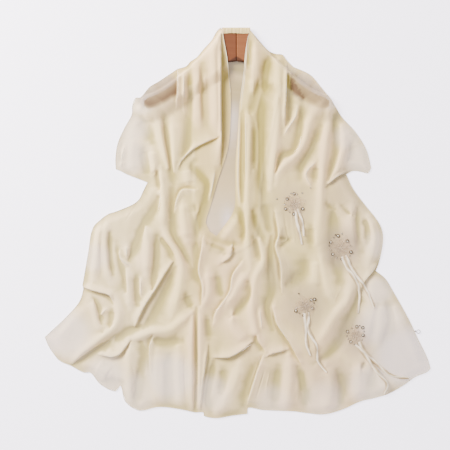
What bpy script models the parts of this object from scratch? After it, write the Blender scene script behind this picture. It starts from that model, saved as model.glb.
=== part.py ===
"""A sheer shawl hijab laid flat over a wooden hanger. Metres, +Z up, photo up is +Y."""
import math

import bpy
import numpy as np
from mathutils import Matrix, Vector
from mathutils.bvhtree import BVHTree
from mathutils.geometry import delaunay_2d_cdt

CM = 0.01
MM = 0.001
CLOTH = 1.2 * MM
SEAM_HALF = 0.2 * MM
EDGE_STEP = 16 * MM
FOLD_STEP = 14 * MM
GRID_STEP = 6 * MM
MIN_SPACE = 6.5 * MM
FLAT_ERROR = 1.7 * MM
REFINE_ROUNDS = 14
REFINE_BATCH = 400
LOFT = 4.8 * MM
LOFT_RISE = 22 * MM
HEM_SHARE = 0.55
HEM_DROP = 2.2 * MM
FOLD_REACH = 60 * MM
FOLD_ROUND = 2 * MM
FOLD_POWER = 1.2
CLIFF_WIDTH = 5 * MM
BASE_PULL = 350.0
END_SHARE = 0.2       # share of a fold line over which its height fades
END_HEIGHT = 0.45     # height left at the very end
MIDDLE_HEIGHT = 1.05  # height along the rest
HOLD_SHARE = 0.16     # share over which its hold on the cloth fades
END_HOLD = 0.3        # hold left at the very end
SOFT_LANDING = 1.0 * MM
BACK_TOP = 1.2 * MM
WOOD_BOTTOM = 1.7 * MM
WOOD_TOP = 13.7 * MM
OVER_WOOD = 14.3 * MM
OVER_BACK = 1.8 * MM
WOOD_MARGIN = 3 * MM
STEEP_FALL = 9 * MM
GENTLE_FALL = 32 * MM
BACK_FALL = 8 * MM
LAID_GAP = 0.85 * MM
TRIM_WALL = 0.9 * MM
PETAL_RISE = 2.6 * MM
CENTRE_X = -0.2 * CM

# Kind: (height in mm on the left of travel, on the right, spread in mm left, right, how strongly it holds)
FOLD_KINDS = {
    "crest": (12.5, 12.5, 13, 13, 1.2),
    "thin": (9.0, 9.0, 4.5, 4.5, 0.8),
    "valley": (-1.0, -1.0, 11, 11, 0.8),
    "deep": (-3.5, -3.5, 8, 8, 0.9),
    "dip": (1.0, 1.0, 14, 14, 0.8),
    "cliff_left": (0.0, 13.0, 8, 15, 1.0),
    "cliff_right": (13.0, 0.0, 15, 8, 1.0),
}

# Edges of the stretches: name -> points in cm, walked in one direction
OUTLINE = {
    "neck_left": [(-3.6, 45), (-4, 45.6), (-5, 44.5), (-6, 42.7), (-8, 40.5), (-9.5, 38.7), (-11, 37.7),
                  (-12, 36.6), (-14, 36)],
    "slope_left": [(-14, 36), (-18.5, 33), (-20.5, 31.8), (-22.7, 29.3), (-23.8, 29.2), (-24.5, 27.5),
                   (-24.7, 25.3), (-26.5, 22), (-28, 18.5), (-28.5, 15), (-28.4, 12.6)],
    "under_left": [(-28.4, 12.6), (-27.5, 12.3), (-26, 11.5), (-23, 10.3), (-21, 9.5)],
    "lobe_left": [(-21, 9.5), (-22, 7.5), (-23, 5.5), (-24.5, 4.3), (-28.5, 2.6), (-30.3, 2), (-32.5, 0.3),
                  (-33.5, -0.7), (-34.2, -2.5), (-34.8, -6.5), (-36.2, -14.5)],
    "flap_left": [(-36.2, -14.5), (-36, -15.4), (-37, -18.5), (-40, -22), (-43.5, -25.3), (-45, -26.7)],
    "flap_hem_left": [(-45, -26.7), (-44, -29), (-42, -31.8), (-41, -32.5), (-39, -33.3)],
    "hem_left": [(-39, -33.3), (-36, -34.9), (-34.3, -35), (-32, -37.7), (-28.6, -39.3), (-27.3, -38),
                 (-26.2, -41.7), (-23, -43.8), (-18.5, -43), (-13.5, -43.5), (-9.9, -44.3)],
    "hem_centre": [(-9.9, -44.3), (-7.9, -44.3), (-7.8, -45.1), (-5, -45.6), (-1, -45), (2.3, -44.6)],
    "hem_right_front": [(2.3, -44.6), (2.5, -43.2), (6, -43.7), (13, -44), (16, -44.4)],
    "hem_right": [(16, -44.4), (20, -44.7), (24, -43.8), (29, -41.6), (32, -40.9), (35.5, -39.8),
                  (39, -37.8), (41.5, -36), (44.3, -34.8), (45.1, -34)],
    "tail_side_right": [(45.1, -34), (44.3, -31.5), (42, -26.8), (40, -22.5), (36.2, -15.7), (34.5, -13),
                        (32.3, -11.2)],
    "lobe_right": [(32.3, -11.2), (33.1, -9.1), (34, -4), (33.6, -1.2), (32.2, 1.2), (29.8, 4.2),
                   (27, 8), (25.4, 11.4)],
    "under_right": [(25.4, 11.4), (27, 12.2), (29, 12), (30.5, 11.7), (31.2, 12.9)],
    "slope_right": [(31.2, 12.9), (30.1, 17.1), (27.5, 21.3), (24.5, 24.6), (20.9, 30), (19.3, 32),
                    (17, 34.6), (13, 36.5)],
    "neck_right": [(13, 36.5), (11.5, 38), (10.5, 39.3), (9, 39.5), (7.2, 40.2), (5, 42.5), (4, 43.6),
                   (3, 44.8)],
    "inner_right": [(3, 44.8), (2.4, 43), (1.8, 39), (1.5, 35), (0.5, 28), (0, 20), (-0.5, 14),
                    (-0.5, 7), (-0.7, 3.6), (-1.7, 1.3), (-3, -0.5), (-4.9, -3)],
    "inner_left": [(-4.9, -3), (-6.5, -2), (-7.4, 0), (-6.3, 4), (-4.6, 10),
                   (-3.2, 14), (-2.1, 18), (-1.6, 24), (-1.6, 30.5), (-2, 36), (-3.1, 42), (-3.6, 45)],
}

SEAMS = {
    "left_shoulder_front": [(-14, 36), (-14, 32), (-14.2, 28), (-17, 24), (-16.6, 20), (-16, 16), (-15.3, 12),
                            (-14.8, 9)],
    "left_shoulder_outer": [(-21, 9.5), (-18.2, 8.8)],
    "left_shoulder_tail": [(-18.2, 8.8), (-14.8, 9)],
    "left_outer_tail": [(-18.2, 8.8), (-18, 6), (-18.8, 1), (-18.7, -3), (-16, -6.2), (-15.1, -8.5),
                        (-14.9, -10.5), (-17, -16), (-20, -22), (-22, -24.3), (-25.3, -25.2)],
    "left_flap_tail": [(-25.3, -25.2), (-26.5, -26), (-30, -28), (-33, -29.6), (-36, -31.5), (-39, -33.3)],
    "left_front_tail": [(-14.8, 9), (-15.1, 0), (-14.9, -2.5), (-12.3, -7), (-9.9, -11), (-9.2, -14.5),
                        (-9.5, -20), (-9.7, -26), (-9.6, -34), (-9.9, -44.3)],
    "fronts_upper": [(-4.9, -3), (-3.4, -4.1), (-1.2, -4.9), (0, -6.2), (0.2, -9), (-1.5, -12), (-2.1, -14), (-2.5, -17.9),
                     (-5.6, -21), (-6.4, -23)],
    "fronts_lower": [(-6.4, -23), (-5.2, -26.6), (-6.2, -28.6), (-5.2, -32), (-2, -31.9), (1, -30.2),
                     (3.5, -28.2), (5, -31.5), (3.2, -37), (1.5, -41.7), (2.3, -44.6)],
    "right_shoulder_front": [(13, 36.5), (12.4, 33), (12.4, 29), (15, 26.6), (15, 24), (14.3, 17.5),
                             (11.5, 16), (10.3, 15.8), (9, 12), (8.3, 8)],
    "right_shoulder_outer": [(25.4, 11.4), (23.5, 10.5), (21, 8.5), (15, 8), (8.3, 8)],
    "right_front_outer": [(8.3, 8), (8, 4), (7.9, -3), (7.7, -9), (8.2, -15), (7, -20), (8.3, -25),
                          (11, -28.2), (13.8, -33)],
    "right_front_tail": [(13.8, -33), (15.3, -37), (16, -40), (16, -44.4)],
    "right_outer_tail": [(32.3, -11.2), (30, -13.8), (28.1, -18), (26, -23.5), (24.5, -27), (21.5, -30.5),
                         (18, -32.8), (13.8, -33)],
}

# Stretch -> the edges that close it; a leading "-" walks the edge backwards
STRETCHES = {
    "left_shoulder": ["slope_left", "under_left", "left_shoulder_outer", "left_shoulder_tail",
                      "-left_shoulder_front"],
    "left_outer": ["lobe_left", "flap_left", "flap_hem_left", "-left_flap_tail", "-left_outer_tail",
                   "-left_shoulder_outer"],
    "left_tail": ["left_outer_tail", "left_flap_tail", "hem_left", "-left_front_tail",
                  "-left_shoulder_tail"],
    "left_front": ["neck_left", "left_shoulder_front", "left_front_tail", "hem_centre", "-fronts_lower",
                   "-fronts_upper", "inner_left"],
    "right_front": ["fronts_upper", "fronts_lower", "hem_right_front", "-right_front_tail",
                    "-right_front_outer", "-right_shoulder_front", "neck_right", "inner_right"],
    "right_outer": ["right_front_outer", "-right_outer_tail", "lobe_right", "right_shoulder_outer"],
    "right_tail": ["right_front_tail", "hem_right", "tail_side_right", "right_outer_tail"],
    "right_shoulder": ["-right_shoulder_outer", "under_right", "slope_right", "right_shoulder_front"],
}

# Folds: (kind, strength, points in cm), traced from top to bottom of the photo
LEFT_UPPER_FOLDS = [
    ("crest", 0.8, [(-15, 24), (-14.8, 20), (-14.8, 12)]),
    ("valley", 1.0, [(-17, 24), (-16.6, 20), (-16, 16), (-15.3, 12), (-14.8, 9)]),
    ("crest", 0.9, [(-22.3, 26.7), (-20.6, 25.2), (-18.7, 24.2), (-18, 21), (-17.3, 17.5), (-16.3, 13)]),
    ("cliff_right", 0.5, [(-14, 35), (-14, 31), (-14.3, 28)]),
    ("thin", 0.8, [(-12.5, 35), (-12.4, 29)]),
    ("valley", 1.0, [(-11, 36), (-11, 30), (-11.2, 24), (-11.6, 18), (-12.6, 15.6), (-13.5, 14)]),
    ("crest", 0.9, [(-5.6, 43), (-5.2, 35), (-5, 27), (-5, 21)]),
    ("dip", 0.7, [(-8.2, 37), (-8, 30), (-7.6, 23)]),
    ("crest", 0.5, [(-9.3, 36), (-9.2, 30), (-9.1, 23)]),
    ("cliff_left", 1.0, [(-3.8, 44), (-3.8, 36), (-3.8, 27), (-3.7, 20), (-3.9, 14)]),
    ("valley", 0.8, [(-3.2, 43.4), (-2.9, 38), (-2.8, 31), (-2.8, 25), (-2.8, 18)]),
    ("cliff_left", 0.9, [(-4.3, 20), (-7.5, 18.7), (-10.5, 17), (-13, 14.5), (-13.8, 12.5)]),
    ("deep", 0.9, [(-10, 14.5), (-10.5, 13.2), (-8.5, 11), (-7, 9), (-7.3, 6), (-8.8, 1), (-9.6, -4)]),
    ("deep", 1.0, [(-9.6, -4), (-9.7, -9.5), (-9.8, -12), (-8.8, -14.4)]),
    ("thin", 1.0, [(-5.3, 12), (-5.8, 9), (-6.5, 5.5)]),
    ("crest", 0.6, [(-12, 12.5), (-11.8, 10.6), (-11.6, 9.2)]),
    ("cliff_right", 0.8, [(-10.2, 7.9), (-13, 7.8), (-14.3, 5.4), (-14.8, 2.6)]),
    ("valley", 0.7, [(-27.5, 19.5), (-27.7, 16), (-26.8, 13.8)]),
    ("thin", 0.8, [(-26.4, 17.5), (-27, 15), (-27, 13)]),
    ("valley", 0.9, [(-22, 17), (-21.5, 14), (-21, 11)]),
    ("crest", 0.6, [(-24.3, 20), (-24.6, 15), (-24, 12)]),
    ("crest", 0.9, [(-19.8, 17), (-19.5, 14), (-19.2, 11.5)]),
    ("valley", 0.8, [(-19.2, 12.5), (-18.6, 10), (-18.3, 8)]),
    ("crest", 1.0, [(-18, 13), (-17.4, 8), (-17.2, 3), (-17.4, -1)]),
    ("dip", 0.9, [(-23, 24), (-21, 21), (-20, 19)]),
]
LEFT_MIDDLE_FOLDS = [
    ("crest", 1.0, [(-17.4, -1), (-16.4, -3.6), (-14, -7), (-13, -10.5), (-13.7, -16), (-15.5, -22)]),
    ("valley", 1.2, [(-18.4, 6), (-19.5, 3), (-21.5, 0), (-23.5, -4.5), (-25.3, -8.8)]),
    ("crest", 0.9, [(-21.5, -0.8), (-21, -4), (-21, -7.5), (-21.3, -12)]),
    ("deep", 0.9, [(-18.7, -3.2), (-18.9, -8), (-19.3, -12), (-19.8, -15.5)]),
    ("valley", 1.0, [(-18.3, -3.4), (-16, -6.2), (-15.1, -8.5)]),
    ("cliff_left", 1.0, [(-15.2, -9.2), (-17, -12), (-19, -15.3), (-21.7, -19.5), (-24, -24.5)]),
    ("valley", 1.0, [(-14.7, -10.5), (-17, -16), (-20, -22), (-22, -24.3)]),
    ("valley", 1.0, [(-15, 8), (-15.1, 0), (-14.9, -2.5), (-12.3, -7), (-9.9, -11)]),
    ("crest", 1.0, [(-12.8, 5), (-12.4, 0), (-11.8, -4)]),
    ("thin", -0.7, [(-10, 4.5), (-9.7, 2.5)]),
    ("cliff_right", 1.0, [(-8.2, -4), (-8.5, -6.5), (-9.2, -11), (-8.3, -14.8), (-8.4, -19)]),
    ("crest", 0.9, [(-7, -11), (-6.8, -16), (-8.3, -20)]),
    ("cliff_left", 0.6, [(-1.2, -5), (-1.3, -7), (-2, -8.3), (-3.6, -9.3)]),
    ("valley", 0.8, [(-6.5, -5), (-4, -6), (-3, -7)]),
    ("valley", 0.7, [(-6.4, -3.4), (-4.6, -4.2), (-2.4, -4.8), (0.4, -5)]),
    ("crest", 0.5, [(-0.6, 1.4), (-1.8, -1), (-3, -2.8)]),
    ("valley", 0.9, [(-4.8, -12), (-4.3, -14), (-4, -16), (-3.2, -17.5)]),
    ("deep", 0.8, [(-12, -17), (-11.5, -18.3), (-10.7, -19.8)]),
    ("crest", 0.9, [(-32, 0.3), (-32.7, -4), (-33, -9), (-33.6, -13)]),
    ("crest", 0.7, [(-30.4, 1), (-31, -3), (-30.6, -10), (-29.7, -14)]),
    ("cliff_right", 1.0, [(-36, -15.1), (-33.5, -15.9), (-30, -16.9), (-29, -18.5)]),
    ("crest", 1.0, [(-28.6, -17), (-27.7, -21), (-28.6, -24), (-31.5, -26.5), (-36, -30), (-38.6, -32.6)]),
    ("valley", 1.0, [(-28.7, -26.7), (-30, -28), (-33, -29.6), (-36, -31.5), (-38.5, -33.3)]),
    ("valley", 0.7, [(-29.8, -2.5), (-29.6, -8), (-29, -12)]),
    ("valley", 0.8, [(-28.3, -4.5), (-27.5, -9), (-26.6, -12), (-26, -16)]),
    ("thin", 0.9, [(-27.6, -6.5), (-27.3, -8.3), (-25.2, -10)]),
    ("thin", 0.9, [(-25.9, -5.5), (-25.8, -7.8)]),
    ("crest", 0.7, [(-25.6, -11), (-25.5, -15), (-25, -20)]),
    ("valley", 0.8, [(-23.5, -12.5), (-23.3, -19)]),
    ("thin", 1.0, [(-22.5, -13), (-22.5, -17)]),
    ("crest", 0.6, [(-33.7, -18), (-33.5, -20), (-32.8, -23), (-31.5, -25.5)]),
    ("valley", 0.7, [(-34, -16.9), (-32.3, -20), (-31.7, -23.5)]),
    ("thin", 0.8, [(-30.5, -20), (-32, -21.5)]),
    ("valley", 0.6, [(-29.4, -20.5), (-29.8, -24.3)]),
    ("crest", 0.5, [(-36.5, -18.5), (-39, -22.5), (-41.5, -27)]),
]
LEFT_LOWER_FOLDS = [
    ("deep", 0.8, [(-22.5, -24), (-25.3, -25.1), (-26.5, -26), (-29, -27.8)]),
    ("cliff_left", 0.9, [(-25, -27.5), (-27.5, -30.7), (-29, -31.3), (-31.5, -31)]),
    ("crest", 0.8, [(-25, -28), (-25.3, -34), (-25.6, -41.2)]),
    ("valley", 1.0, [(-22.5, -28), (-21.6, -31), (-23, -37), (-23.7, -43)]),
    ("cliff_right", 0.5, [(-19.9, -26.5), (-20.6, -29), (-20.5, -35)]),
    ("crest", 1.0, [(-25, -27.3), (-20, -25.5), (-16, -24.9), (-13.3, -23), (-10.8, -21)]),
    ("dip", 1.2, [(-20, -27.3), (-17, -28), (-13, -27.5)]),
    ("dip", 0.9, [(-16, -31), (-16.2, -36), (-16, -42.5)]),
    ("crest", 0.6, [(-13.8, -29), (-13.6, -36), (-13.2, -43)]),
    ("crest", 0.5, [(-19, -30), (-18.6, -37), (-19, -42.5)]),
    ("valley", 0.7, [(-31, -37.3), (-28, -37)]),
    ("crest", 0.7, [(-33, -33.5), (-30, -35.2)]),
    ("crest", 0.8, [(-10.6, -22), (-10.8, -34), (-10.6, -43.3)]),
    ("valley", 1.0, [(-9.5, -20), (-9.7, -26), (-9.6, -34), (-9.9, -44)]),
    ("crest", 0.8, [(-8.8, -20), (-8.7, -28), (-8.8, -36), (-8.9, -42)]),
    ("valley", 0.8, [(-7, -22), (-6.5, -27)]),
    ("cliff_left", 0.7, [(-6.8, -29), (-7.5, -34), (-8, -37), (-8.6, -43)]),
    ("deep", 0.9, [(-5.5, -32.5), (-6, -35), (-7, -41), (-6.5, -44)]),
    ("valley", 0.8, [(-3.5, -34), (-3.5, -37), (-4, -39.5)]),
    ("crest", 0.8, [(0.5, -33), (-0.5, -36.5), (-3, -42), (-4.6, -44.5)]),
]
RIGHT_UPPER_FOLDS = [
    ("deep", 1.0, [(7.5, 38.6), (6.7, 35.5), (6.5, 33), (6.4, 30.2)]),
    ("valley", 1.2, [(5.9, 30.5), (5.6, 25), (5.6, 18), (5.7, 12), (6.3, 5)]),
    ("thin", 0.9, [(2.3, 43), (2, 38), (1.7, 34), (1.2, 30), (0.8, 26)]),
    ("valley", 0.8, [(2.85, 43.2), (2.55, 39), (2.4, 36)]),
    ("crest", 0.8, [(4.4, 41.6), (4.2, 36), (3.4, 31)]),
    ("dip", 0.9, [(5, 33), (4.2, 29), (3, 25.5)]),
    ("valley", 0.9, [(6.3, 5), (7.3, -1), (8, -2.7)]),
    ("crest", 1.0, [(9.5, 38), (9.6, 30), (9.2, 22), (8.5, 15), (7.8, 8)]),
    ("cliff_left", 0.8, [(11.5, 36), (11.4, 30), (11.2, 23)]),
    ("deep", 0.8, [(12.4, 33), (12.3, 27), (11.8, 23)]),
    ("thin", 1.1, [(13.9, 27), (13.6, 25), (12.2, 22.7), (10.9, 20.5)]),
    ("valley", 1.1, [(15.2, 28), (14.8, 24), (14.2, 20), (12.8, 16.5), (10.3, 15.6), (9, 12)]),
    ("crest", 1.0, [(19.3, 27.3), (17, 24), (15.6, 19), (13.7, 15.9), (10, 12.5), (8.8, 9)]),
    ("valley", 1.0, [(19.5, 22.5), (17.5, 17.5), (15, 13), (14.7, 10.5)]),
    ("crest", 1.0, [(21.5, 25.5), (20.7, 20), (19.8, 12), (19.3, 3), (18.7, -4.5)]),
    ("thin", 1.0, [(18.5, 14.5), (16, 11.5), (17.3, 8.3)]),
    ("valley", 0.7, [(18.3, 13), (18, 10)]),
    ("valley", 0.9, [(22.7, 25), (23.3, 18), (22.5, 14), (21.3, 10)]),
    ("crest", 0.9, [(24.6, 22.5), (25, 19), (23.5, 13), (21.8, 10.3)]),
    ("dip", 0.8, [(27, 18.5), (26.5, 14)]),
    ("cliff_left", 0.8, [(25.6, 11.9), (23.5, 10.9), (21, 8.9)]),
    ("thin", 0.9, [(0.5, 25), (0.4, 20), (0.1, 10), (0.5, 4)]),
    ("valley", 0.7, [(1.2, 26), (1.1, 20), (1, 12), (1.1, 5)]),
    ("cliff_right", 0.8, [(1.7, 25), (1.8, 18), (1.8, 10)]),
    ("crest", 0.9, [(2.6, 25), (2.5, 15), (2.4, 6), (2.4, -3), (3, -11)]),
    ("valley", 0.6, [(4.2, 23), (4.1, 13)]),
    ("valley", 0.9, [(0.4, 3.4), (1.1, 0.8), (1.5, -2), (1, -4.6)]),
    ("valley", 0.7, [(3.7, 2.5), (5, -1.3), (6.7, -4.7)]),
]
RIGHT_MIDDLE_FOLDS = [
    ("valley", 0.7, [(3.9, -3.5), (4.7, -6), (5.2, -8.5)]),
    ("crest", 0.9, [(5.2, -4), (6, -9), (4.3, -12.8), (3.4, -20), (4.2, -25), (6.6, -30)]),
    ("thin", 0.9, [(5.2, -20), (5.8, -25)]),
    ("cliff_right", 1.0, [(8.8, 2), (9.5, -2.8), (8.8, -5.5), (9.9, -9.5), (10.2, -15)]),
    ("thin", -0.8, [(9.7, -3.3), (11.5, -3.9)]),
    ("thin", -0.8, [(12.5, -3.5), (10.3, -5.3)]),
    ("deep", 1.0, [(8, -3), (7.7, -9), (8.2, -15), (7, -20), (8.3, -25)]),
    ("dip", 1.3, [(15.5, -8), (15.3, -11.5), (12, -14.5)]),
    ("valley", 0.7, [(17, -1), (17, -5.3)]),
    ("crest", 0.7, [(18.5, -8.5), (18.2, -15)]),
    ("crest", 0.9, [(2.5, -11.5), (0.3, -14.5), (-1, -17), (-3, -19.2)]),
    ("valley", 0.9, [(2.6, -14), (2.8, -17), (0.5, -20), (-1.5, -22)]),
    ("crest", 0.8, [(-1.2, -21), (-1, -24), (2, -27.5)]),
    ("cliff_right", 0.7, [(0.9, -9), (-1.2, -12.3), (-1.9, -16), (-5.2, -21), (-5.8, -23.5)]),
    ("cliff_right", 0.9, [(-4.8, -31.5), (-2, -31.4), (1, -29.8), (3.4, -27.8)]),
    ("valley", 0.9, [(4.5, -26), (4.4, -27.7), (6.3, -30)]),
    ("cliff_right", 1.0, [(8.2, -20), (9.3, -23.8), (12, -27.8), (14.5, -32.3)]),
    ("crest", 0.8, [(19.2, -6.2), (20, -10), (21, -14.5), (22.5, -18.5)]),
    ("crest", 1.0, [(27, -13), (25.5, -18), (22.4, -22), (20.8, -25), (18.5, -28.5)]),
    ("valley", 1.1, [(22.5, 4), (22.5, -3), (23.5, -10), (24, -13.5)]),
    ("thin", -0.9, [(21, 4.3), (22, 3.6), (23.3, 2.9)]),
    ("thin", -0.7, [(24, 4.5), (25.5, 2.7), (27, 1.7)]),
    ("valley", 0.9, [(29.3, 1), (30.3, -1), (30.2, -4.5)]),
    ("crest", 0.9, [(30.8, 1.4), (32, -2), (32, -5), (30.6, -9.5)]),
    ("cliff_left", 0.7, [(32.8, -9.3), (31.9, -11), (30, -13.3), (28.8, -15.5)]),
    ("crest", 0.6, [(27, 5), (26.4, 0), (27, -5)]),
    ("dip", 0.8, [(28.2, 3.4), (28.3, -1.5), (28.8, -6.5)]),
]
RIGHT_LOWER_FOLDS = [
    ("valley", 1.0, [(28.5, -15.5), (28.1, -18), (26, -23.5), (24.5, -27), (21.5, -30.5), (18, -32.8)]),
    ("cliff_right", 0.6, [(7.2, -31), (8.5, -30.5), (11.5, -29.6)]),
    ("crest", 0.8, [(12, -31), (12.2, -35), (11.5, -43)]),
    ("valley", 0.8, [(9.5, -33.5), (9, -37), (8.5, -43)]),
    ("valley", 1.0, [(14.3, -33.8), (15.3, -37), (16, -43.8)]),
    ("cliff_right", 0.9, [(5.7, -31.5), (4.1, -36), (2.4, -41.4)]),
    ("valley", 0.9, [(4.6, -32), (3, -36), (1.2, -42.5)]),
    ("thin", -0.8, [(18.7, -31.3), (19.5, -33), (20.7, -34.7)]),
    ("crest", 0.8, [(20.5, -33.5), (21.8, -36.5), (20.7, -44)]),
    ("valley", 0.8, [(23.5, -34.5), (24.5, -38), (24, -43.3)]),
    ("valley", 0.7, [(35, -18), (35.9, -23), (34.3, -28)]),
    ("crest", 0.6, [(31.5, -14.5), (31.5, -20), (30, -27)]),
    ("thin", -0.8, [(29.7, -32.7), (29, -34)]),
    ("crest", 0.7, [(28.5, -33), (28, -40.5)]),
    ("dip", 0.8, [(31.3, -31), (31.8, -34.5), (31, -39)]),
    ("crest", 0.5, [(33.5, -19), (33, -24), (32.4, -28)]),
    ("cliff_left", 0.5, [(30, -31.5), (34, -36), (35.1, -39.5)]),
    ("crest", 0.5, [(37, -20), (40.5, -28), (42.5, -33)]),
]
FOLDS = (LEFT_UPPER_FOLDS + LEFT_MIDDLE_FOLDS + LEFT_LOWER_FOLDS
         + RIGHT_UPPER_FOLDS + RIGHT_MIDDLE_FOLDS + RIGHT_LOWER_FOLDS)

# Hanger half, from the centre out: (distance from centre, top y, bottom y) in cm
HANGER_ROWS = [(0, 44.9, 37.7), (2.3, 44.8, 37.4), (3.4, 43.9, 36.8), (4.4, 42.2, 36.1), (5.6, 40.8, 35.2),
               (7.4, 38.9, 34.2), (9.2, 37.1, 33.2), (11, 35.4, 32.1), (13, 33.8, 30.7), (15, 32.2, 29.2),
               (17, 30.8, 27.9), (19, 29.8, 27.0), (20.7, 29.2, 26.7), (21.6, 28.5, 27.3)]
# Hanger plate levels: (z, inset), rounding its edges
HANGER_LEVELS = [(WOOD_BOTTOM, 1.6 * MM), (WOOD_BOTTOM + 2 * MM, 0), (WOOD_TOP - 2.4 * MM, 0),
                 (WOOD_TOP, 2 * MM)]

BACK_OUTLINE = [(-9.5, 36), (-4.6, 40), (-0.2, 40.6), (4.2, 40), (9.3, 36), (8, 24), (5.2, 10), (3.8, -3), (-1, -6.4),
                (-7, -5), (-9.6, 2), (-9.6, 10), (-10, 22)]

# Neck roll section round the hanger's top: (y mm, z mm) outside, then inside
ROLL_OUTSIDE = [(419, 0), (449, 0), (453.5, 1.6), (455.5, 5), (455.8, 8.5), (454.6, 12.6), (451.2, 15.1),
                (447, 15.6), (441, 15.5)]
ROLL_INSIDE = [(419, 1.2), (448.6, 1.2), (452.2, 2.6), (454.1, 5.3), (454.4, 8.4), (453.2, 11.9), (450.4, 14),
               (446.8, 14.3), (441, 14.2)]
ROLL_X = [-2.9, -1.6, -0.3, 1.0, 2.2]

# Ornaments: (name, centre x, centre y, flower radius) in cm
ORNAMENTS = [("flower_1", 13.2, 4.4, 1.9), ("flower_2", 24.0, -5.7, 2.1), ("flower_3", 15.7, -19.4, 1.9),
             ("flower_4", 27.4, -26.3, 1.8)]
# Ribbon tails: (name, width cm, points in cm)
RIBBONS = [
    ("ribbon_1a", 0.7, [(13.5, 3), (13.8, 1), (14.3, -2), (15, -5)]),
    ("ribbon_1b", 0.6, [(14.1, 3.4), (14.7, 1), (15.2, -1), (15.6, -3)]),
    ("ribbon_2a", 0.8, [(25, -7.6), (26.5, -10.3), (29, -14), (30.7, -17), (31.9, -19.8)]),
    ("ribbon_2b", 0.7, [(24.4, -7.8), (26, -11), (28, -14.5), (28.6, -17), (28, -21)]),
    ("ribbon_3a", 0.7, [(15.6, -21), (15.8, -25), (16.3, -29), (17, -31)]),
    ("ribbon_3b", 0.7, [(16.3, -20.8), (16.6, -25), (18.2, -28.3), (18.7, -32), (20.8, -34.8)]),
    ("ribbon_4a", 0.8, [(28.2, -27.8), (30.5, -31), (35, -35), (37.5, -36), (40, -36.2)]),
    ("ribbon_4b", 0.8, [(27.7, -28.2), (30, -31.3), (33.2, -35.5), (34.8, -37.5), (34.3, -40)]),
]

# Slot: (base colour, roughness)
SLOTS = {"chiffon": ((0.80, 0.73, 0.56, 1), 0.75), "wood": ((0.42, 0.22, 0.12, 1), 0.5),
         "organza": ((0.82, 0.78, 0.74, 1), 0.6), "satin": ((0.86, 0.78, 0.74, 1), 0.3)}


def clear_scene():
    for obj in list(bpy.data.objects):
        bpy.data.objects.remove(obj)


def soft_line(points, step):
    """Points along a smooth curve through the given ones, which all stay on it."""
    pts = np.array(points, float)
    gaps = np.linalg.norm(np.diff(pts, axis=0), axis=1)
    along = np.concatenate([[0], np.cumsum(gaps)])
    slope = np.zeros_like(pts)
    slope[1:-1] = (pts[2:] - pts[:-2]) / (along[2:] - along[:-2])[:, None]
    slope[0] = (pts[1] - pts[0]) / gaps[0]
    slope[-1] = (pts[-1] - pts[-2]) / gaps[-1]
    out = []
    for i, gap in enumerate(gaps):
        parts = max(1, int(round(gap / step)))
        for t in np.arange(parts) / parts:
            a = (1 + 2 * t) * (1 - t) ** 2
            b = t * (1 - t) ** 2 * gap
            c = t * t * (3 - 2 * t)
            d = t * t * (t - 1) * gap
            out.append(a * pts[i] + b * slope[i] + c * pts[i + 1] + d * slope[i + 1])
    out.append(pts[-1])
    return np.array(out)


def cm_line(points, step=EDGE_STEP):
    return soft_line(np.array(points, float) * CM, step)


def distance_to(points, line):
    """Distance to a line, +1 or -1 for its left or right side, and the share of its length."""
    a = line[:-1]
    run = line[1:] - a
    size = (run ** 2).sum(1)
    along = np.concatenate([[0], np.cumsum(np.sqrt(size))])
    best = np.full(len(points), 1e9)
    side = np.ones(len(points))
    share = np.zeros(len(points))
    for i in range(len(a)):
        rel = points - a[i]
        t = np.clip((rel @ run[i]) / size[i], 0, 1)
        away = rel - t[:, None] * run[i]
        d = np.hypot(away[:, 0], away[:, 1])
        near = d < best
        best = np.where(near, d, best)
        cross = run[i, 0] * rel[:, 1] - run[i, 1] * rel[:, 0]
        side = np.where(near, np.sign(cross), side)
        share = np.where(near, (along[i] + t * math.sqrt(size[i])) / along[-1], share)
    return best, side, share


def inside(points, polygon):
    """Which points lie in a polygon."""
    x, y = points[:, 0], points[:, 1]
    hit = np.zeros(len(points), bool)
    for (x0, y0), (x1, y1) in zip(polygon, np.roll(polygon, -1, axis=0)):
        crosses = (y0 > y) != (y1 > y)
        with np.errstate(divide="ignore", invalid="ignore"):
            at = (x1 - x0) * (y - y0) / (y1 - y0) + x0
        hit ^= crosses & (x < at)
    return hit


def inset(polygon, amount):
    """A polygon moved inwards, mitred at its corners; it runs anticlockwise."""
    run = np.roll(polygon, -1, axis=0) - polygon
    run = run / np.linalg.norm(run, axis=1)[:, None]
    normal = np.stack([-run[:, 1], run[:, 0]], axis=1)
    both = normal + np.roll(normal, 1, axis=0)
    both = both / np.maximum((both * normal).sum(1), 0.35)[:, None]
    return polygon + both * amount


def anticlockwise(polygon):
    x, y = polygon[:, 0], polygon[:, 1]
    area = (x * np.roll(y, -1) - y * np.roll(x, -1)).sum()
    return polygon if area > 0 else polygon[::-1]


def smoothstep(t):
    t = np.clip(t, 0, 1)
    return t * t * (3 - 2 * t)


EDGE_LINES = {name: cm_line(row) for name, row in {**OUTLINE, **SEAMS}.items()}
OUTLINE_LINES = [EDGE_LINES[name] for name in OUTLINE]


def stretch_polygon(names):
    """The closed outline of a stretch, just inside the line it shares with its neighbours."""
    parts = []
    for name in names:
        line = EDGE_LINES[name.lstrip("-")]
        line = line[::-1] if name.startswith("-") else line
        parts.append(line[:-1])
    return inset(anticlockwise(np.concatenate(parts)), SEAM_HALF)


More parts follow.
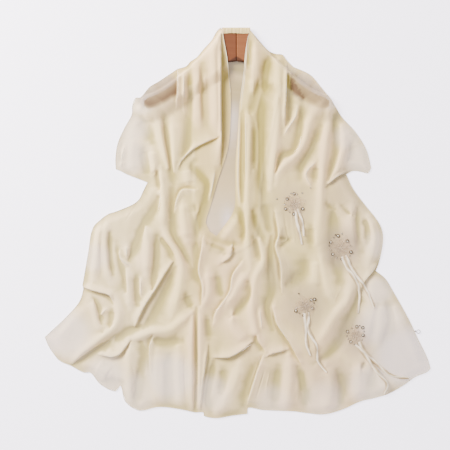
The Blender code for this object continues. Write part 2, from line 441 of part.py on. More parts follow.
def hanger_outline(reach=0.0):
    """The whole hanger's outline in plan, grown by reach."""
    rows = np.array(HANGER_ROWS) * CM
    top = soft_line(rows[:, [0, 1]], 10 * MM)
    low = soft_line(rows[:, [0, 2]], 10 * MM)
    right = np.concatenate([low, top[::-1]])
    left = right[::-1] * [-1, 1]
    whole = anticlockwise(np.concatenate([right[:-1], left[:-1]]))
    whole = whole[np.linalg.norm(whole - np.roll(whole, 1, axis=0), axis=1) > 1e-6]
    return inset(whole, -reach) + [CENTRE_X, 0]


def back_outline(reach=0.0):
    line = cm_line(BACK_OUTLINE + BACK_OUTLINE[:1], 20 * MM)[:-1]
    return inset(anticlockwise(line), -reach)


HANGER_EDGE = hanger_outline()
HANGER_RING = hanger_outline(WOOD_MARGIN)
BACK_EDGE = back_outline()
BACK_RING = back_outline(WOOD_MARGIN)
FOLD_LINES = [(kind, strength, cm_line(points, FOLD_STEP)) for kind, strength, points in FOLDS]


def ring_height(points, ring, level, fall):
    """A flat level inside a ring that falls off outside it."""
    closed = np.concatenate([ring, ring[:1]])
    away, _, _ = distance_to(points, closed)
    away = np.where(inside(points, ring), 0, away)
    return level * (1 - smoothstep(away / fall))


def lowest(points):
    """What the cloth lies on at each point: it falls steeply above the hanger and gently below it."""
    steep = ring_height(points, HANGER_RING, OVER_WOOD, STEEP_FALL)
    gentle = ring_height(points, HANGER_RING, OVER_WOOD, GENTLE_FALL)
    rows = np.array(HANGER_ROWS) * CM
    middle = np.interp(np.abs(points[:, 0] - CENTRE_X), rows[:, 0], (rows[:, 1] + rows[:, 2]) / 2)
    below = smoothstep((middle - points[:, 1]) / GENTLE_FALL + 0.5)
    wood = steep + (gentle - steep) * below
    return np.maximum(wood, ring_height(points, BACK_RING, OVER_BACK, BACK_FALL))


def fold_height(points):
    """The loose cloth's height: each fold line pulls it to its own profile, the nearer the more."""
    pull = np.full(len(points), BASE_PULL)
    total = pull * LOFT
    far = 1 / (FOLD_REACH ** 2 + FOLD_ROUND ** 2)
    for kind, strength, line in FOLD_LINES:
        near = ((points > line.min(0) - FOLD_REACH) & (points < line.max(0) + FOLD_REACH)).all(1)
        if not near.any():
            continue
        away, side, share = distance_to(points[near], line)
        high_left, high_right, spread_left, spread_right, hold = FOLD_KINDS[kind]
        end = np.minimum(share, 1 - share)
        faded = strength * (END_HEIGHT + (MIDDLE_HEIGHT - END_HEIGHT) * smoothstep(end / END_SHARE))
        left = faded * (high_left * MM - LOFT) / (1 + (away / (spread_left * MM)) ** 2)
        right = faded * (high_right * MM - LOFT) / (1 + (away / (spread_right * MM)) ** 2)
        across = smoothstep(side * away / CLIFF_WIDTH + 0.5)
        held = hold * (END_HOLD + (1 - END_HOLD) * smoothstep(end / HOLD_SHARE))
        force = held * np.maximum(1 / (away ** 2 + FOLD_ROUND ** 2) - far, 0) ** FOLD_POWER
        pull[near] += force
        total[near] += force * (LOFT + right + (left - right) * across)
    return total / pull


def cloth_top(points):
    """Height of the cloth's upper face over the surface it lies on."""
    rim = np.full(len(points), 1e9)
    for line in OUTLINE_LINES:
        away, _, _ = distance_to(points, line)
        rim = np.minimum(rim, away)
    grow = smoothstep(rim / LOFT_RISE)
    heap = fold_height(points) * (HEM_SHARE + (1 - HEM_SHARE) * grow) - HEM_DROP * (1 - grow)
    soft = SOFT_LANDING
    heap = np.where(heap > soft, heap, np.where(heap < -soft, 0, (heap + soft) ** 2 / (4 * soft)))
    return CLOTH + lowest(points) + heap


def triangulate(points, edges, polygon):
    """Triangles of a polygon through the points, and the points, with crossings added."""
    found = delaunay_2d_cdt([Vector(p) for p in points], edges, [], 0, 1e-7)
    pts = np.array([tuple(v) for v in found[0]])
    tris = np.array([tuple(f) for f in found[2] if len(f) == 3])
    middle = pts[tris].mean(1)
    tris = tris[inside(middle, polygon)]
    used, tris = np.unique(tris, return_inverse=True)
    return pts[used], tris.reshape(-1, 3)


def loop_edges(start, count):
    return [(start + i, start + (i + 1) % count) for i in range(count)]


def apart(points, others, space):
    """The points that stay a given space away from the others and from each other."""
    kept = [tuple(p) for p in others]
    cells = {}
    for p in kept:
        cells.setdefault((int(p[0] // space), int(p[1] // space)), []).append(p)
    out = []
    for p in points:
        cx, cy = int(p[0] // space), int(p[1] // space)
        close = False
        for i in (-1, 0, 1):
            for j in (-1, 0, 1):
                for q in cells.get((cx + i, cy + j), []):
                    if math.hypot(p[0] - q[0], p[1] - q[1]) < space:
                        close = True
        if not close:
            out.append(tuple(p))
            cells.setdefault((cx, cy), []).append(tuple(p))
    return out


def refine(polygon, height, error):
    """Adds points where the flat triangles miss the height by most, until none is off by error."""
    seeds = np.concatenate([line for _, _, line in FOLD_LINES])
    seeds = seeds[inside(seeds, inset(polygon, 4 * MM))]
    points = [tuple(p) for p in polygon]
    edges = loop_edges(0, len(points))
    low, high = polygon.min(0), polygon.max(0)
    for ring in (HANGER_RING, BACK_RING):
        if ((ring > low) & (ring < high)).all(1).any():
            edges += loop_edges(len(points), len(ring))
            points += [tuple(p) for p in ring]
    points += apart(seeds, points, MIN_SPACE)
    gx, gy = np.meshgrid(np.arange(low[0], high[0], GRID_STEP), np.arange(low[1], high[1], GRID_STEP))
    grid = np.stack([gx.ravel(), gy.ravel()], axis=1)
    grid = grid[inside(grid, inset(polygon, 3 * MM))]
    true = height(grid)
    for _ in range(REFINE_ROUNDS):
        pts, tris = triangulate(points, edges, polygon)
        z = height(pts)
        tree = BVHTree.FromPolygons([(*p, h) for p, h in zip(pts.tolist(), z.tolist())], tris.tolist())
        miss = np.zeros(len(grid))
        for i, (x, y) in enumerate(grid.tolist()):
            hit = tree.ray_cast(Vector((x, y, 1)), Vector((0, 0, -1)))[0]
            miss[i] = abs(hit.z - true[i]) if hit else 0
        worst = np.argsort(-miss)
        worst = worst[miss[worst] > error][:REFINE_BATCH]
        extra = apart(grid[worst], points, MIN_SPACE)
        if len(extra) < 3:
            break
        points += extra
    return triangulate(points, edges, polygon)


def add_solid(name, slot, verts, faces):
    """A mesh object from points and faces, with its material."""
    mesh = bpy.data.meshes.new(name)
    mesh.from_pydata([tuple(map(float, v)) for v in verts], [], [tuple(map(int, f)) for f in faces])
    mesh.validate()
    mesh.materials.append(material(slot))
    obj = bpy.data.objects.new(name, mesh)
    COLLECTION.objects.link(obj)
    return obj


def sheet_solid(name, slot, pts, tris, top, bottom):
    """A closed wall between two heights over the same triangles."""
    count = len(pts)
    a, b, c = pts[tris[:, 0]], pts[tris[:, 1]], pts[tris[:, 2]]
    turn = (b[:, 0] - a[:, 0]) * (c[:, 1] - a[:, 1]) - (b[:, 1] - a[:, 1]) * (c[:, 0] - a[:, 0])
    tris = np.where((turn > 0)[:, None], tris, tris[:, ::-1])
    faces = [tuple(t) for t in tris] + [tuple(t[::-1] + count) for t in tris]
    sides = {}
    for t in tris.tolist():
        for i in range(3):
            sides[(t[i], t[(i + 1) % 3])] = True
    for p, q in list(sides):
        if (q, p) not in sides:
            faces.append((q, p, p + count, q + count))
    verts = np.concatenate([np.column_stack([pts, top]), np.column_stack([pts, bottom])])
    return add_solid(name, slot, verts, faces)


def material(slot):
    if slot in bpy.data.materials:
        return bpy.data.materials[slot]
    colour, rough = SLOTS[slot]
    mat = bpy.data.materials.new(slot)
    mat.use_nodes = True
    shader = mat.node_tree.nodes["Principled BSDF"]
    shader.inputs["Base Color"].default_value = colour
    shader.inputs["Roughness"].default_value = rough
    mat.diffuse_color = colour
    return mat


def build_stretch(name):
    """One stretch of the shawl, thickened downwards and never below what it lies on."""
    pts, tris = refine(stretch_polygon(STRETCHES[name]), cloth_top, FLAT_ERROR)
    top = cloth_top(pts)
    step = 0.5 * MM
    dx = (cloth_top(pts + [step, 0]) - cloth_top(pts - [step, 0])) / (2 * step)
    dy = (cloth_top(pts + [0, step]) - cloth_top(pts - [0, step])) / (2 * step)
    drop = CLOTH * np.sqrt(1 + np.minimum(dx ** 2 + dy ** 2, 4))
    bottom = np.maximum(top - drop, np.minimum(lowest(pts), top - CLOTH))
    bottom = np.maximum(bottom, 0)
    return sheet_solid(name, "chiffon", pts, tris, top, bottom)


def build_back_panel():
    polygon = BACK_EDGE
    pts, tris = triangulate([tuple(p) for p in polygon], loop_edges(0, len(polygon)), polygon)
    flat = np.zeros(len(pts))
    return sheet_solid("back_panel", "chiffon", pts, tris, flat + BACK_TOP, flat)


def build_neck_roll():
    """The band that turns over the top of the hanger."""
    outside = np.array(ROLL_OUTSIDE) * MM
    inner = np.array(ROLL_INSIDE) * MM
    section = np.concatenate([outside, inner[::-1]])
    count = len(section)
    verts = [(x * CM, y, z) for x in ROLL_X for y, z in section]
    faces = []
    for i in range(len(ROLL_X) - 1):
        for j in range(count):
            k = (j + 1) % count
            faces.append((i * count + j, i * count + k, (i + 1) * count + k, (i + 1) * count + j))
    strip = len(outside)
    for end, flip in ((0, True), (len(ROLL_X) - 1, False)):
        base = end * count
        for j in range(strip - 1):
            quad = (base + j, base + j + 1, base + count - 2 - j, base + count - 1 - j)
            faces.append(quad[::-1] if flip else quad)
    return add_solid("neck_roll", "chiffon", verts, faces)


def build_hanger_half(name, sign):
    rows = np.array(HANGER_ROWS) * CM
    top = soft_line(rows[:, [0, 1]], 12 * MM)
    low = soft_line(rows[:, [0, 2]], 12 * MM)
    half = np.concatenate([low, top[::-1]])
    half = anticlockwise(half * [sign, 1]) + [CENTRE_X, 0]
    half = inset(half, SEAM_HALF)
    count = len(half)
    verts = []
    for z, amount in HANGER_LEVELS:
        ring = inset(half, amount)
        verts += [(x, y, z) for x, y in ring]
    faces = []
    for i in range(len(HANGER_LEVELS) - 1):
        for j in range(count):
            k = (j + 1) % count
            faces.append((i * count + j, i * count + k, (i + 1) * count + k, (i + 1) * count + j))
    first = inset(half, HANGER_LEVELS[0][1])
    caps = delaunay_2d_cdt([Vector(p) for p in first], loop_edges(0, count), [], 0, 1e-9)
    cap = [tuple(f) for f in caps[2]]
    middle = np.array([np.mean([tuple(caps[0][i]) for i in f], axis=0) for f in cap])
    keep = inside(middle, first)
    origin = [o[0] for o in caps[3]]
    last = (len(HANGER_LEVELS) - 1) * count
    for f, ok in zip(cap, keep):
        if ok:
            tri = [origin[i] for i in f]
            faces.append(tuple(reversed(tri)))
            faces.append(tuple(i + last for i in tri))
    return add_solid(name, "wood", verts, faces)


def host_height(trees, x, y, radius):
    """The highest point of what lies under a spot, within a radius."""
    best = 0.0
    for share in (0, 0.5, 1):
        for turn in range(1 if share == 0 else 10):
            angle = 2 * math.pi * turn / 10 + share
            spot = Vector((x + share * radius * math.cos(angle), y + share * radius * math.sin(angle), 1))
            for tree in trees:
                hit = tree.ray_cast(spot, Vector((0, 0, -1)))[0]
                if hit and hit.z > best:
                    best = hit.z
    return best


def lay_on(name, slot, trees, polygon, centre_points, radius, thick, dome):
    """A thin piece made from the points of what it lies on, moved out."""
    polygon = anticlockwise(polygon)
    points = [tuple(p) for p in polygon] + centre_points
    pts, tris = triangulate(points, loop_edges(0, len(polygon)), polygon)
    under = np.array([host_height(trees, x, y, radius) for x, y in pts]) + LAID_GAP
    rise = np.array([dome(x, y) for x, y in pts])
    obj = sheet_solid(name, slot, pts, tris, under + thick + rise, under + rise * 0.7)
    verts = [v.co.copy() for v in obj.data.vertices]
    trees.append(BVHTree.FromPolygons(verts, [tuple(p.vertices) for p in obj.data.polygons]))
    return obj


def build_ribbon(row, trees):
    name, wide, points = row
    line = cm_line(points, 7 * MM)
    run = np.gradient(line, axis=0)
    run = run / np.linalg.norm(run, axis=1)[:, None]
    normal = np.stack([-run[:, 1], run[:, 0]], axis=1) * wide * CM / 2
    polygon = np.concatenate([line + normal, (line - normal)[::-1]])
    return lay_on(name, "satin", trees, polygon, [], 10 * MM, TRIM_WALL, lambda x, y: 0.0)


def build_flower(row, trees):
    name, cx, cy, radius = row
    centre = np.array([cx, cy]) * CM
    size = radius * CM
    turns = np.arange(40) / 40 * 2 * math.pi
    lobes = size * (0.68 + 0.32 * np.abs(np.cos(2.5 * turns + cx)) ** 0.7)
    polygon = centre + np.stack([np.cos(turns) * lobes, np.sin(turns) * lobes], axis=1)
    rings = []
    for share, count in ((0.0, 1), (0.22, 6), (0.5, 14)):
        for i in range(count):
            angle = 2 * math.pi * i / count
            rings.append((centre[0] + math.cos(angle) * size * share, centre[1] + math.sin(angle) * size * share))

    def dome(x, y):
        away = math.hypot(x - centre[0], y - centre[1]) / size
        return PETAL_RISE * math.sin(math.pi * min(1.0, away)) ** 2

    return lay_on(name, "organza", trees, polygon, rings, 6 * MM, TRIM_WALL, dome)


clear_scene()
COLLECTION = bpy.data.collections.new("hijab")
bpy.context.scene.collection.children.link(COLLECTION)
stretches = [build_stretch(name) for name in STRETCHES]
build_back_panel()
build_neck_roll()
build_hanger_half("hanger_left", -1)
build_hanger_half("hanger_right", 1)
laid_on = []
for stretch in stretches:
    corners = [v.co.copy() for v in stretch.data.vertices]
    laid_on.append(BVHTree.FromPolygons(corners, [tuple(p.vertices) for p in stretch.data.polygons]))
for ribbon in RIBBONS:
    build_ribbon(ribbon, laid_on)
for ornament in ORNAMENTS:
    build_flower(ornament, laid_on)
every = np.array([v.co[:] for obj in COLLECTION.objects for v in obj.data.vertices])
middle_x, middle_y = (every.min(0) + every.max(0))[:2] / 2
for obj in COLLECTION.objects:
    obj.data.transform(Matrix.Translation((-middle_x, -middle_y, 0)))
    print(obj.name, len(obj.data.polygons))
print("moved by", middle_x, middle_y)
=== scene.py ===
import math

import bpy
import bmesh
import numpy as np
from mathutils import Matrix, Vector, noise
from mathutils.bvhtree import BVHTree


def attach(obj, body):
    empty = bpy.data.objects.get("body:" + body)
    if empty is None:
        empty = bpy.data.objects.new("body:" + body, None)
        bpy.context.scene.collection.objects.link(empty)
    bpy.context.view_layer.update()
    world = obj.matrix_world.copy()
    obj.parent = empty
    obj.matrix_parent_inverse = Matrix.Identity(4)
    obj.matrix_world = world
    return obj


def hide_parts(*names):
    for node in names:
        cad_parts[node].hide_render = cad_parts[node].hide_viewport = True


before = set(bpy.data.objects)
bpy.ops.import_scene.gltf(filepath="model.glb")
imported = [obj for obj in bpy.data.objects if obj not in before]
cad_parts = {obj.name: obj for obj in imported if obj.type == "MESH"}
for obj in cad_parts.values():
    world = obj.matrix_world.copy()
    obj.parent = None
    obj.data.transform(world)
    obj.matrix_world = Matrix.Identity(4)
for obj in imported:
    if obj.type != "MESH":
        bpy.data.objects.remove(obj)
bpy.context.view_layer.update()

# A shawl hijab, folded over a wooden hanger and laid on a pale surface. Metres; +Y is towards the neck.
cm = 0.01
mm = 0.001

shawl = {
    "cloth": 1.2 * mm,          # lowest height of the upper face
    "loft": 4.8 * mm,           # how high the loose cloth stands away from its edges
    "loftRise": 22 * mm,        # how far in from an edge it takes to rise
    "hemShare": 0.55,           # how much of a fold is left at a hem
    "hemDrop": 2.2 * mm,
    "foldReach": 60 * mm,       # how far a fold pulls the cloth
    "foldPower": 1.2,           # how quickly the nearest fold wins over the others
    "foldRound": 2.0 * mm,
    "cliffWidth": 3.4 * mm,
    "endShare": 0.2,            # share of a fold over which its height fades
    "endHeight": 0.45, "heightGain": 0.6,
    "holdShare": 0.16,          # share of a fold over which its hold fades
    "endHold": 0.3,
    "softLanding": 1.0 * mm,
    "basePull": 350.0,
    "cuts": 5,                  # how finely each face is divided
    "weld": 0.01 * mm, "seam": 0.7 * mm,  # how near corners are joined, before and after the underside goes
    "facingUp": 0.08,
    "wrinkle": 0.95 * mm,
    "depthUnit": 6.0 * mm, "reliefUnit": 2.2 * mm, "reliefRounds": 40,
    "flatWidth": 1.80, "flatLength": 0.75,
}

# Kind: (height in mm on the left of travel, on the right, spread in mm left, right, how strongly it holds)
foldKinds = {
    "crest": (12.5, 12.5, 13, 13, 1.2),
    "thin": (9.0, 9.0, 4.5, 4.5, 0.8),
    "valley": (-1.0, -1.0, 11, 11, 0.8),
    "deep": (-3.5, -3.5, 8, 8, 0.9),
    "dip": (1.0, 1.0, 14, 14, 0.8),
    "cliffLeft": (0.0, 13.0, 8, 15, 1.0),
    "cliffRight": (13.0, 0.0, 15, 8, 1.0),
}

# Folds by kind: (strength, then points in cm), each kind from top to bottom of the photo
leftFolds = {
    "crest": [
        (0.8, (-15, 24), (-14.8, 20), (-14.8, 12)),
        (0.9, (-22.3, 26.7), (-20.6, 25.2), (-18.7, 24.2), (-18, 21), (-17.3, 17.5), (-16.3, 13)),
        (0.9, (-5.6, 43), (-5.2, 35), (-5, 27), (-5, 21)), (0.5, (-9.3, 36), (-9.2, 30), (-9.1, 23)),
        (0.6, (-12, 12.5), (-11.8, 10.6), (-11.6, 9.2)), (0.6, (-24.3, 20), (-24.6, 15), (-24, 12)),
        (0.9, (-19.8, 17), (-19.5, 14), (-19.2, 11.5)),
        (1, (-18, 13), (-17.4, 8), (-17.2, 3), (-17.4, -1)),
        (1, (-17.4, -1), (-16.4, -3.6), (-14, -7), (-13, -10.5), (-13.7, -16), (-15.5, -22)),
        (0.9, (-21.5, -0.8), (-21, -4), (-21, -7.5), (-21.3, -12)),
        (1, (-12.8, 5), (-12.4, 0), (-11.8, -4)), (0.9, (-7, -11), (-6.8, -16), (-8.3, -20)),
        (0.5, (-0.6, 1.4), (-1.8, -1), (-3, -2.8)),
        (0.9, (-32, 0.3), (-32.7, -4), (-33, -9), (-33.6, -13)),
        (0.7, (-30.4, 1), (-31, -3), (-30.6, -10), (-29.7, -14)),
        (1, (-28.6, -17), (-27.7, -21), (-28.6, -24), (-31.5, -26.5), (-36, -30), (-38.6, -32.6)),
        (0.7, (-25.6, -11), (-25.5, -15), (-25, -20)),
        (0.6, (-33.7, -18), (-33.5, -20), (-32.8, -23), (-31.5, -25.5)),
        (0.5, (-36.5, -18.5), (-39, -22.5), (-41.5, -27)), (0.8, (-25, -28), (-25.3, -34), (-25.6, -41.2)),
        (1, (-25, -27.3), (-20, -25.5), (-16, -24.9), (-13.3, -23), (-10.8, -21)),
        (0.6, (-13.8, -29), (-13.6, -36), (-13.2, -43)), (0.5, (-19, -30), (-18.6, -37), (-19, -42.5)),
        (0.7, (-33, -33.5), (-30, -35.2)), (0.8, (-10.6, -22), (-10.8, -34), (-10.6, -43.3)),
        (0.8, (-8.8, -20), (-8.7, -28), (-8.8, -36), (-8.9, -42)),
        (0.8, (0.5, -33), (-0.5, -36.5), (-3, -42), (-4.6, -44.5)),
    ],
    "thin": [
        (0.8, (-12.5, 35), (-12.4, 29)), (1, (-5.3, 12), (-5.8, 9), (-6.5, 5.5)),
        (0.8, (-26.4, 17.5), (-27, 15), (-27, 13)), (-0.7, (-10, 4.5), (-9.7, 2.5)),
        (0.9, (-27.6, -6.5), (-27.3, -8.3), (-25.2, -10)), (0.9, (-25.9, -5.5), (-25.8, -7.8)),
        (1, (-22.5, -13), (-22.5, -17)), (0.8, (-30.5, -20), (-32, -21.5)),
    ],
    "valley": [
        (1, (-17, 24), (-16.6, 20), (-16, 16), (-15.3, 12), (-14.8, 9)),
        (1, (-11, 36), (-11, 30), (-11.2, 24), (-11.6, 18), (-12.6, 15.6), (-13.5, 14)),
        (0.8, (-3.2, 43.4), (-2.9, 38), (-2.8, 31), (-2.8, 25), (-2.8, 18)),
        (0.7, (-27.5, 19.5), (-27.7, 16), (-26.8, 13.8)), (0.9, (-22, 17), (-21.5, 14), (-21, 11)),
        (0.8, (-19.2, 12.5), (-18.6, 10), (-18.3, 8)),
        (1.2, (-18.4, 6), (-19.5, 3), (-21.5, 0), (-23.5, -4.5), (-25.3, -8.8)),
        (1, (-18.3, -3.4), (-16, -6.2), (-15.1, -8.5)),
        (1, (-14.7, -10.5), (-17, -16), (-20, -22), (-22, -24.3)),
        (1, (-15, 8), (-15.1, 0), (-14.9, -2.5), (-12.3, -7), (-9.9, -11)),
        (0.8, (-6.5, -5), (-4, -6), (-3, -7)), (0.7, (-6.4, -3.4), (-4.6, -4.2), (-2.4, -4.8), (0.4, -5)),
        (0.9, (-4.8, -12), (-4.3, -14), (-4, -16), (-3.2, -17.5)),
        (1, (-28.7, -26.7), (-30, -28), (-33, -29.6), (-36, -31.5), (-38.5, -33.3)),
        (0.7, (-29.8, -2.5), (-29.6, -8), (-29, -12)),
        (0.8, (-28.3, -4.5), (-27.5, -9), (-26.6, -12), (-26, -16)), (0.8, (-23.5, -12.5), (-23.3, -19)),
        (0.7, (-34, -16.9), (-32.3, -20), (-31.7, -23.5)), (0.6, (-29.4, -20.5), (-29.8, -24.3)),
        (1, (-22.5, -28), (-21.6, -31), (-23, -37), (-23.7, -43)), (0.7, (-31, -37.3), (-28, -37)),
        (1, (-9.5, -20), (-9.7, -26), (-9.6, -34), (-9.9, -44)), (0.8, (-7, -22), (-6.5, -27)),
        (0.8, (-3.5, -34), (-3.5, -37), (-4, -39.5)),
    ],
    "deep": [
        (0.9, (-10, 14.5), (-10.5, 13.2), (-8.5, 11), (-7, 9), (-7.3, 6), (-8.8, 1), (-9.6, -4)),
        (1, (-9.6, -4), (-9.7, -9.5), (-9.8, -12), (-8.8, -14.4)),
        (0.9, (-18.7, -3.2), (-18.9, -8), (-19.3, -12), (-19.8, -15.5)),
        (0.8, (-12, -17), (-11.5, -18.3), (-10.7, -19.8)),
        (0.8, (-22.5, -24), (-25.3, -25.1), (-26.5, -26), (-29, -27.8)),
        (0.9, (-5.5, -32.5), (-6, -35), (-7, -41), (-6.5, -44)),
    ],
    "dip": [
        (0.7, (-8.2, 37), (-8, 30), (-7.6, 23)), (0.9, (-23, 24), (-21, 21), (-20, 19)),
        (1.2, (-20, -27.3), (-17, -28), (-13, -27.5)), (0.9, (-16, -31), (-16.2, -36), (-16, -42.5)),
    ],
    "cliffLeft": [
        (1, (-3.8, 44), (-3.8, 36), (-3.8, 27), (-3.7, 20), (-3.9, 14)),
        (0.55, (-4.3, 20), (-7.5, 18.7), (-10.5, 17), (-13, 14.5), (-13.8, 12.5)),
        (1, (-15.2, -9.2), (-17, -12), (-19, -15.3), (-21.7, -19.5), (-24, -24.5)),
        (0.6, (-1.2, -5), (-1.3, -7), (-2, -8.3), (-3.6, -9.3)),
        (0.9, (-25, -27.5), (-27.5, -30.7), (-29, -31.3), (-31.5, -31)),
        (0.7, (-6.8, -29), (-7.5, -34), (-8, -37), (-8.6, -43)),
    ],
    "cliffRight": [
        (0.5, (-14, 35), (-14, 31), (-14.3, 28)),
        (0.8, (-10.2, 7.9), (-13, 7.8), (-14.3, 5.4), (-14.8, 2.6)),
        (1, (-8.2, -4), (-8.5, -6.5), (-9.2, -11), (-8.3, -14.8), (-8.4, -19)),
        (1, (-36, -15.1), (-33.5, -15.9), (-30, -16.9), (-29, -18.5)),
        (0.5, (-19.9, -26.5), (-20.6, -29), (-20.5, -35)),
    ],
}
rightFolds = {
    "crest": [
        (0.8, (4.4, 41.6), (4.2, 36), (3.4, 31)),
        (1, (9.5, 38), (9.6, 30), (9.2, 22), (8.5, 15), (7.8, 8)),
        (1, (19.3, 27.3), (17, 24), (15.6, 19), (13.7, 15.9), (10, 12.5), (8.8, 9)),
        (1, (21.5, 25.5), (20.7, 20), (19.8, 12), (19.3, 3), (18.7, -4.5)),
        (0.9, (24.6, 22.5), (25, 19), (23.5, 13), (21.8, 10.3)),
        (0.9, (2.6, 25), (2.5, 15), (2.4, 6), (2.4, -3), (3, -11)),
        (0.9, (5.2, -4), (6, -9), (4.3, -12.8), (3.4, -20), (4.2, -25), (6.6, -30)),
        (0.7, (18.5, -8.5), (18.2, -15)), (0.9, (2.5, -11.5), (0.3, -14.5), (-1, -17), (-3, -19.2)),
        (0.8, (-1.2, -21), (-1, -24), (2, -27.5)),
        (0.8, (19.2, -6.2), (20, -10), (21, -14.5), (22.5, -18.5)),
        (1, (27, -13), (25.5, -18), (22.4, -22), (20.8, -25), (18.5, -28.5)),
        (0.9, (30.8, 1.4), (32, -2), (32, -5), (30.6, -9.5)), (0.6, (27, 5), (26.4, 0), (27, -5)),
        (0.8, (12, -31), (12.2, -35), (11.5, -43)), (0.8, (20.5, -33.5), (21.8, -36.5), (20.7, -44)),
        (0.6, (31.5, -14.5), (31.5, -20), (30, -27)), (0.7, (28.5, -33), (28, -40.5)),
        (0.5, (33.5, -19), (33, -24), (32.4, -28)), (0.5, (37, -20), (40.5, -28), (42.5, -33)),
    ],
    "thin": [
        (0.9, (2.3, 43), (2, 38), (1.7, 34), (1.2, 30), (0.8, 26)),
        (1.1, (13.9, 27), (13.6, 25), (12.2, 22.7), (10.9, 20.5)),
        (1, (18.5, 14.5), (16, 11.5), (17.3, 8.3)), (0.9, (0.5, 25), (0.4, 20), (0.1, 10), (0.5, 4)),
        (0.9, (5.2, -20), (5.8, -25)), (-0.8, (9.7, -3.3), (11.5, -3.9)),
        (-0.8, (12.5, -3.5), (10.3, -5.3)), (-0.9, (21, 4.3), (22, 3.6), (23.3, 2.9)),
        (-0.7, (24, 4.5), (25.5, 2.7), (27, 1.7)), (-0.8, (18.7, -31.3), (19.5, -33), (20.7, -34.7)),
        (-0.8, (29.7, -32.7), (29, -34)),
    ],
    "valley": [
        (1.2, (5.9, 30.5), (5.6, 25), (5.6, 18), (5.7, 12), (6.3, 5)),
        (0.8, (2.85, 43.2), (2.55, 39), (2.4, 36)), (0.9, (6.3, 5), (7.3, -1), (8, -2.7)),
        (1.1, (15.2, 28), (14.8, 24), (14.2, 20), (12.8, 16.5), (10.3, 15.6), (9, 12)),
        (1, (19.5, 22.5), (17.5, 17.5), (15, 13), (14.7, 10.5)), (0.7, (18.3, 13), (18, 10)),
        (0.9, (22.7, 25), (23.3, 18), (22.5, 14), (21.3, 10)),
        (0.7, (1.2, 26), (1.1, 20), (1, 12), (1.1, 5)), (0.6, (4.2, 23), (4.1, 13)),
        (0.9, (0.4, 3.4), (1.1, 0.8), (1.5, -2), (1, -4.6)), (0.7, (3.7, 2.5), (5, -1.3), (6.7, -4.7)),
        (0.7, (3.9, -3.5), (4.7, -6), (5.2, -8.5)), (0.7, (17, -1), (17, -5.3)),
        (0.9, (2.6, -14), (2.8, -17), (0.5, -20), (-1.5, -22)),
        (0.9, (4.5, -26), (4.4, -27.7), (6.3, -30)),
        (1.1, (22.5, 4), (22.5, -3), (23.5, -10), (24, -13.5)), (0.9, (29.3, 1), (30.3, -1), (30.2, -4.5)),
        (1, (28.5, -15.5), (28.1, -18), (26, -23.5), (24.5, -27), (21.5, -30.5), (18, -32.8)),
        (0.8, (9.5, -33.5), (9, -37), (8.5, -43)), (1, (14.3, -33.8), (15.3, -37), (16, -43.8)),
        (0.9, (4.6, -32), (3, -36), (1.2, -42.5)), (0.8, (23.5, -34.5), (24.5, -38), (24, -43.3)),
        (0.7, (35, -18), (35.9, -23), (34.3, -28)),
    ],
    "deep": [
        (1, (7.5, 38.6), (6.7, 35.5), (6.5, 33), (6.4, 30.2)), (0.8, (12.4, 33), (12.3, 27), (11.8, 23)),
        (1, (8, -3), (7.7, -9), (8.2, -15), (7, -20), (8.3, -25)),
    ],
    "dip": [
        (0.9, (5, 33), (4.2, 29), (3, 25.5)), (0.8, (27, 18.5), (26.5, 14)),
        (1.3, (15.5, -8), (15.3, -11.5), (12, -14.5)), (0.8, (28.2, 3.4), (28.3, -1.5), (28.8, -6.5)),
        (0.8, (31.3, -31), (31.8, -34.5), (31, -39)),
    ],
    "cliffLeft": [
        (0.8, (11.5, 36), (11.4, 30), (11.2, 23)), (0.8, (25.6, 11.9), (23.5, 10.9), (21, 8.9)),
        (0.7, (32.8, -9.3), (31.9, -11), (30, -13.3), (28.8, -15.5)),
        (0.5, (30, -31.5), (34, -36), (35.1, -39.5)),
    ],
    "cliffRight": [
        (0.8, (1.7, 25), (1.8, 18), (1.8, 10)),
        (1, (8.8, 2), (9.5, -2.8), (8.8, -5.5), (9.9, -9.5), (10.2, -15)),
        (0.7, (0.9, -9), (-1.2, -12.3), (-1.9, -16), (-5.2, -21), (-5.8, -23.5)),
        (0.9, (-4.8, -31.5), (-2, -31.4), (1, -29.8), (3.4, -27.8)),
        (1, (8.2, -20), (9.3, -23.8), (12, -27.8), (14.5, -32.3)),
        (0.6, (7.2, -31), (8.5, -30.5), (11.5, -29.6)), (0.9, (5.7, -31.5), (4.1, -36), (2.4, -41.4)),
    ],
}
folds = [(kind, row[0], row[1:]) for table in (leftFolds, rightFolds)
         for kind, rows in table.items() for row in rows]

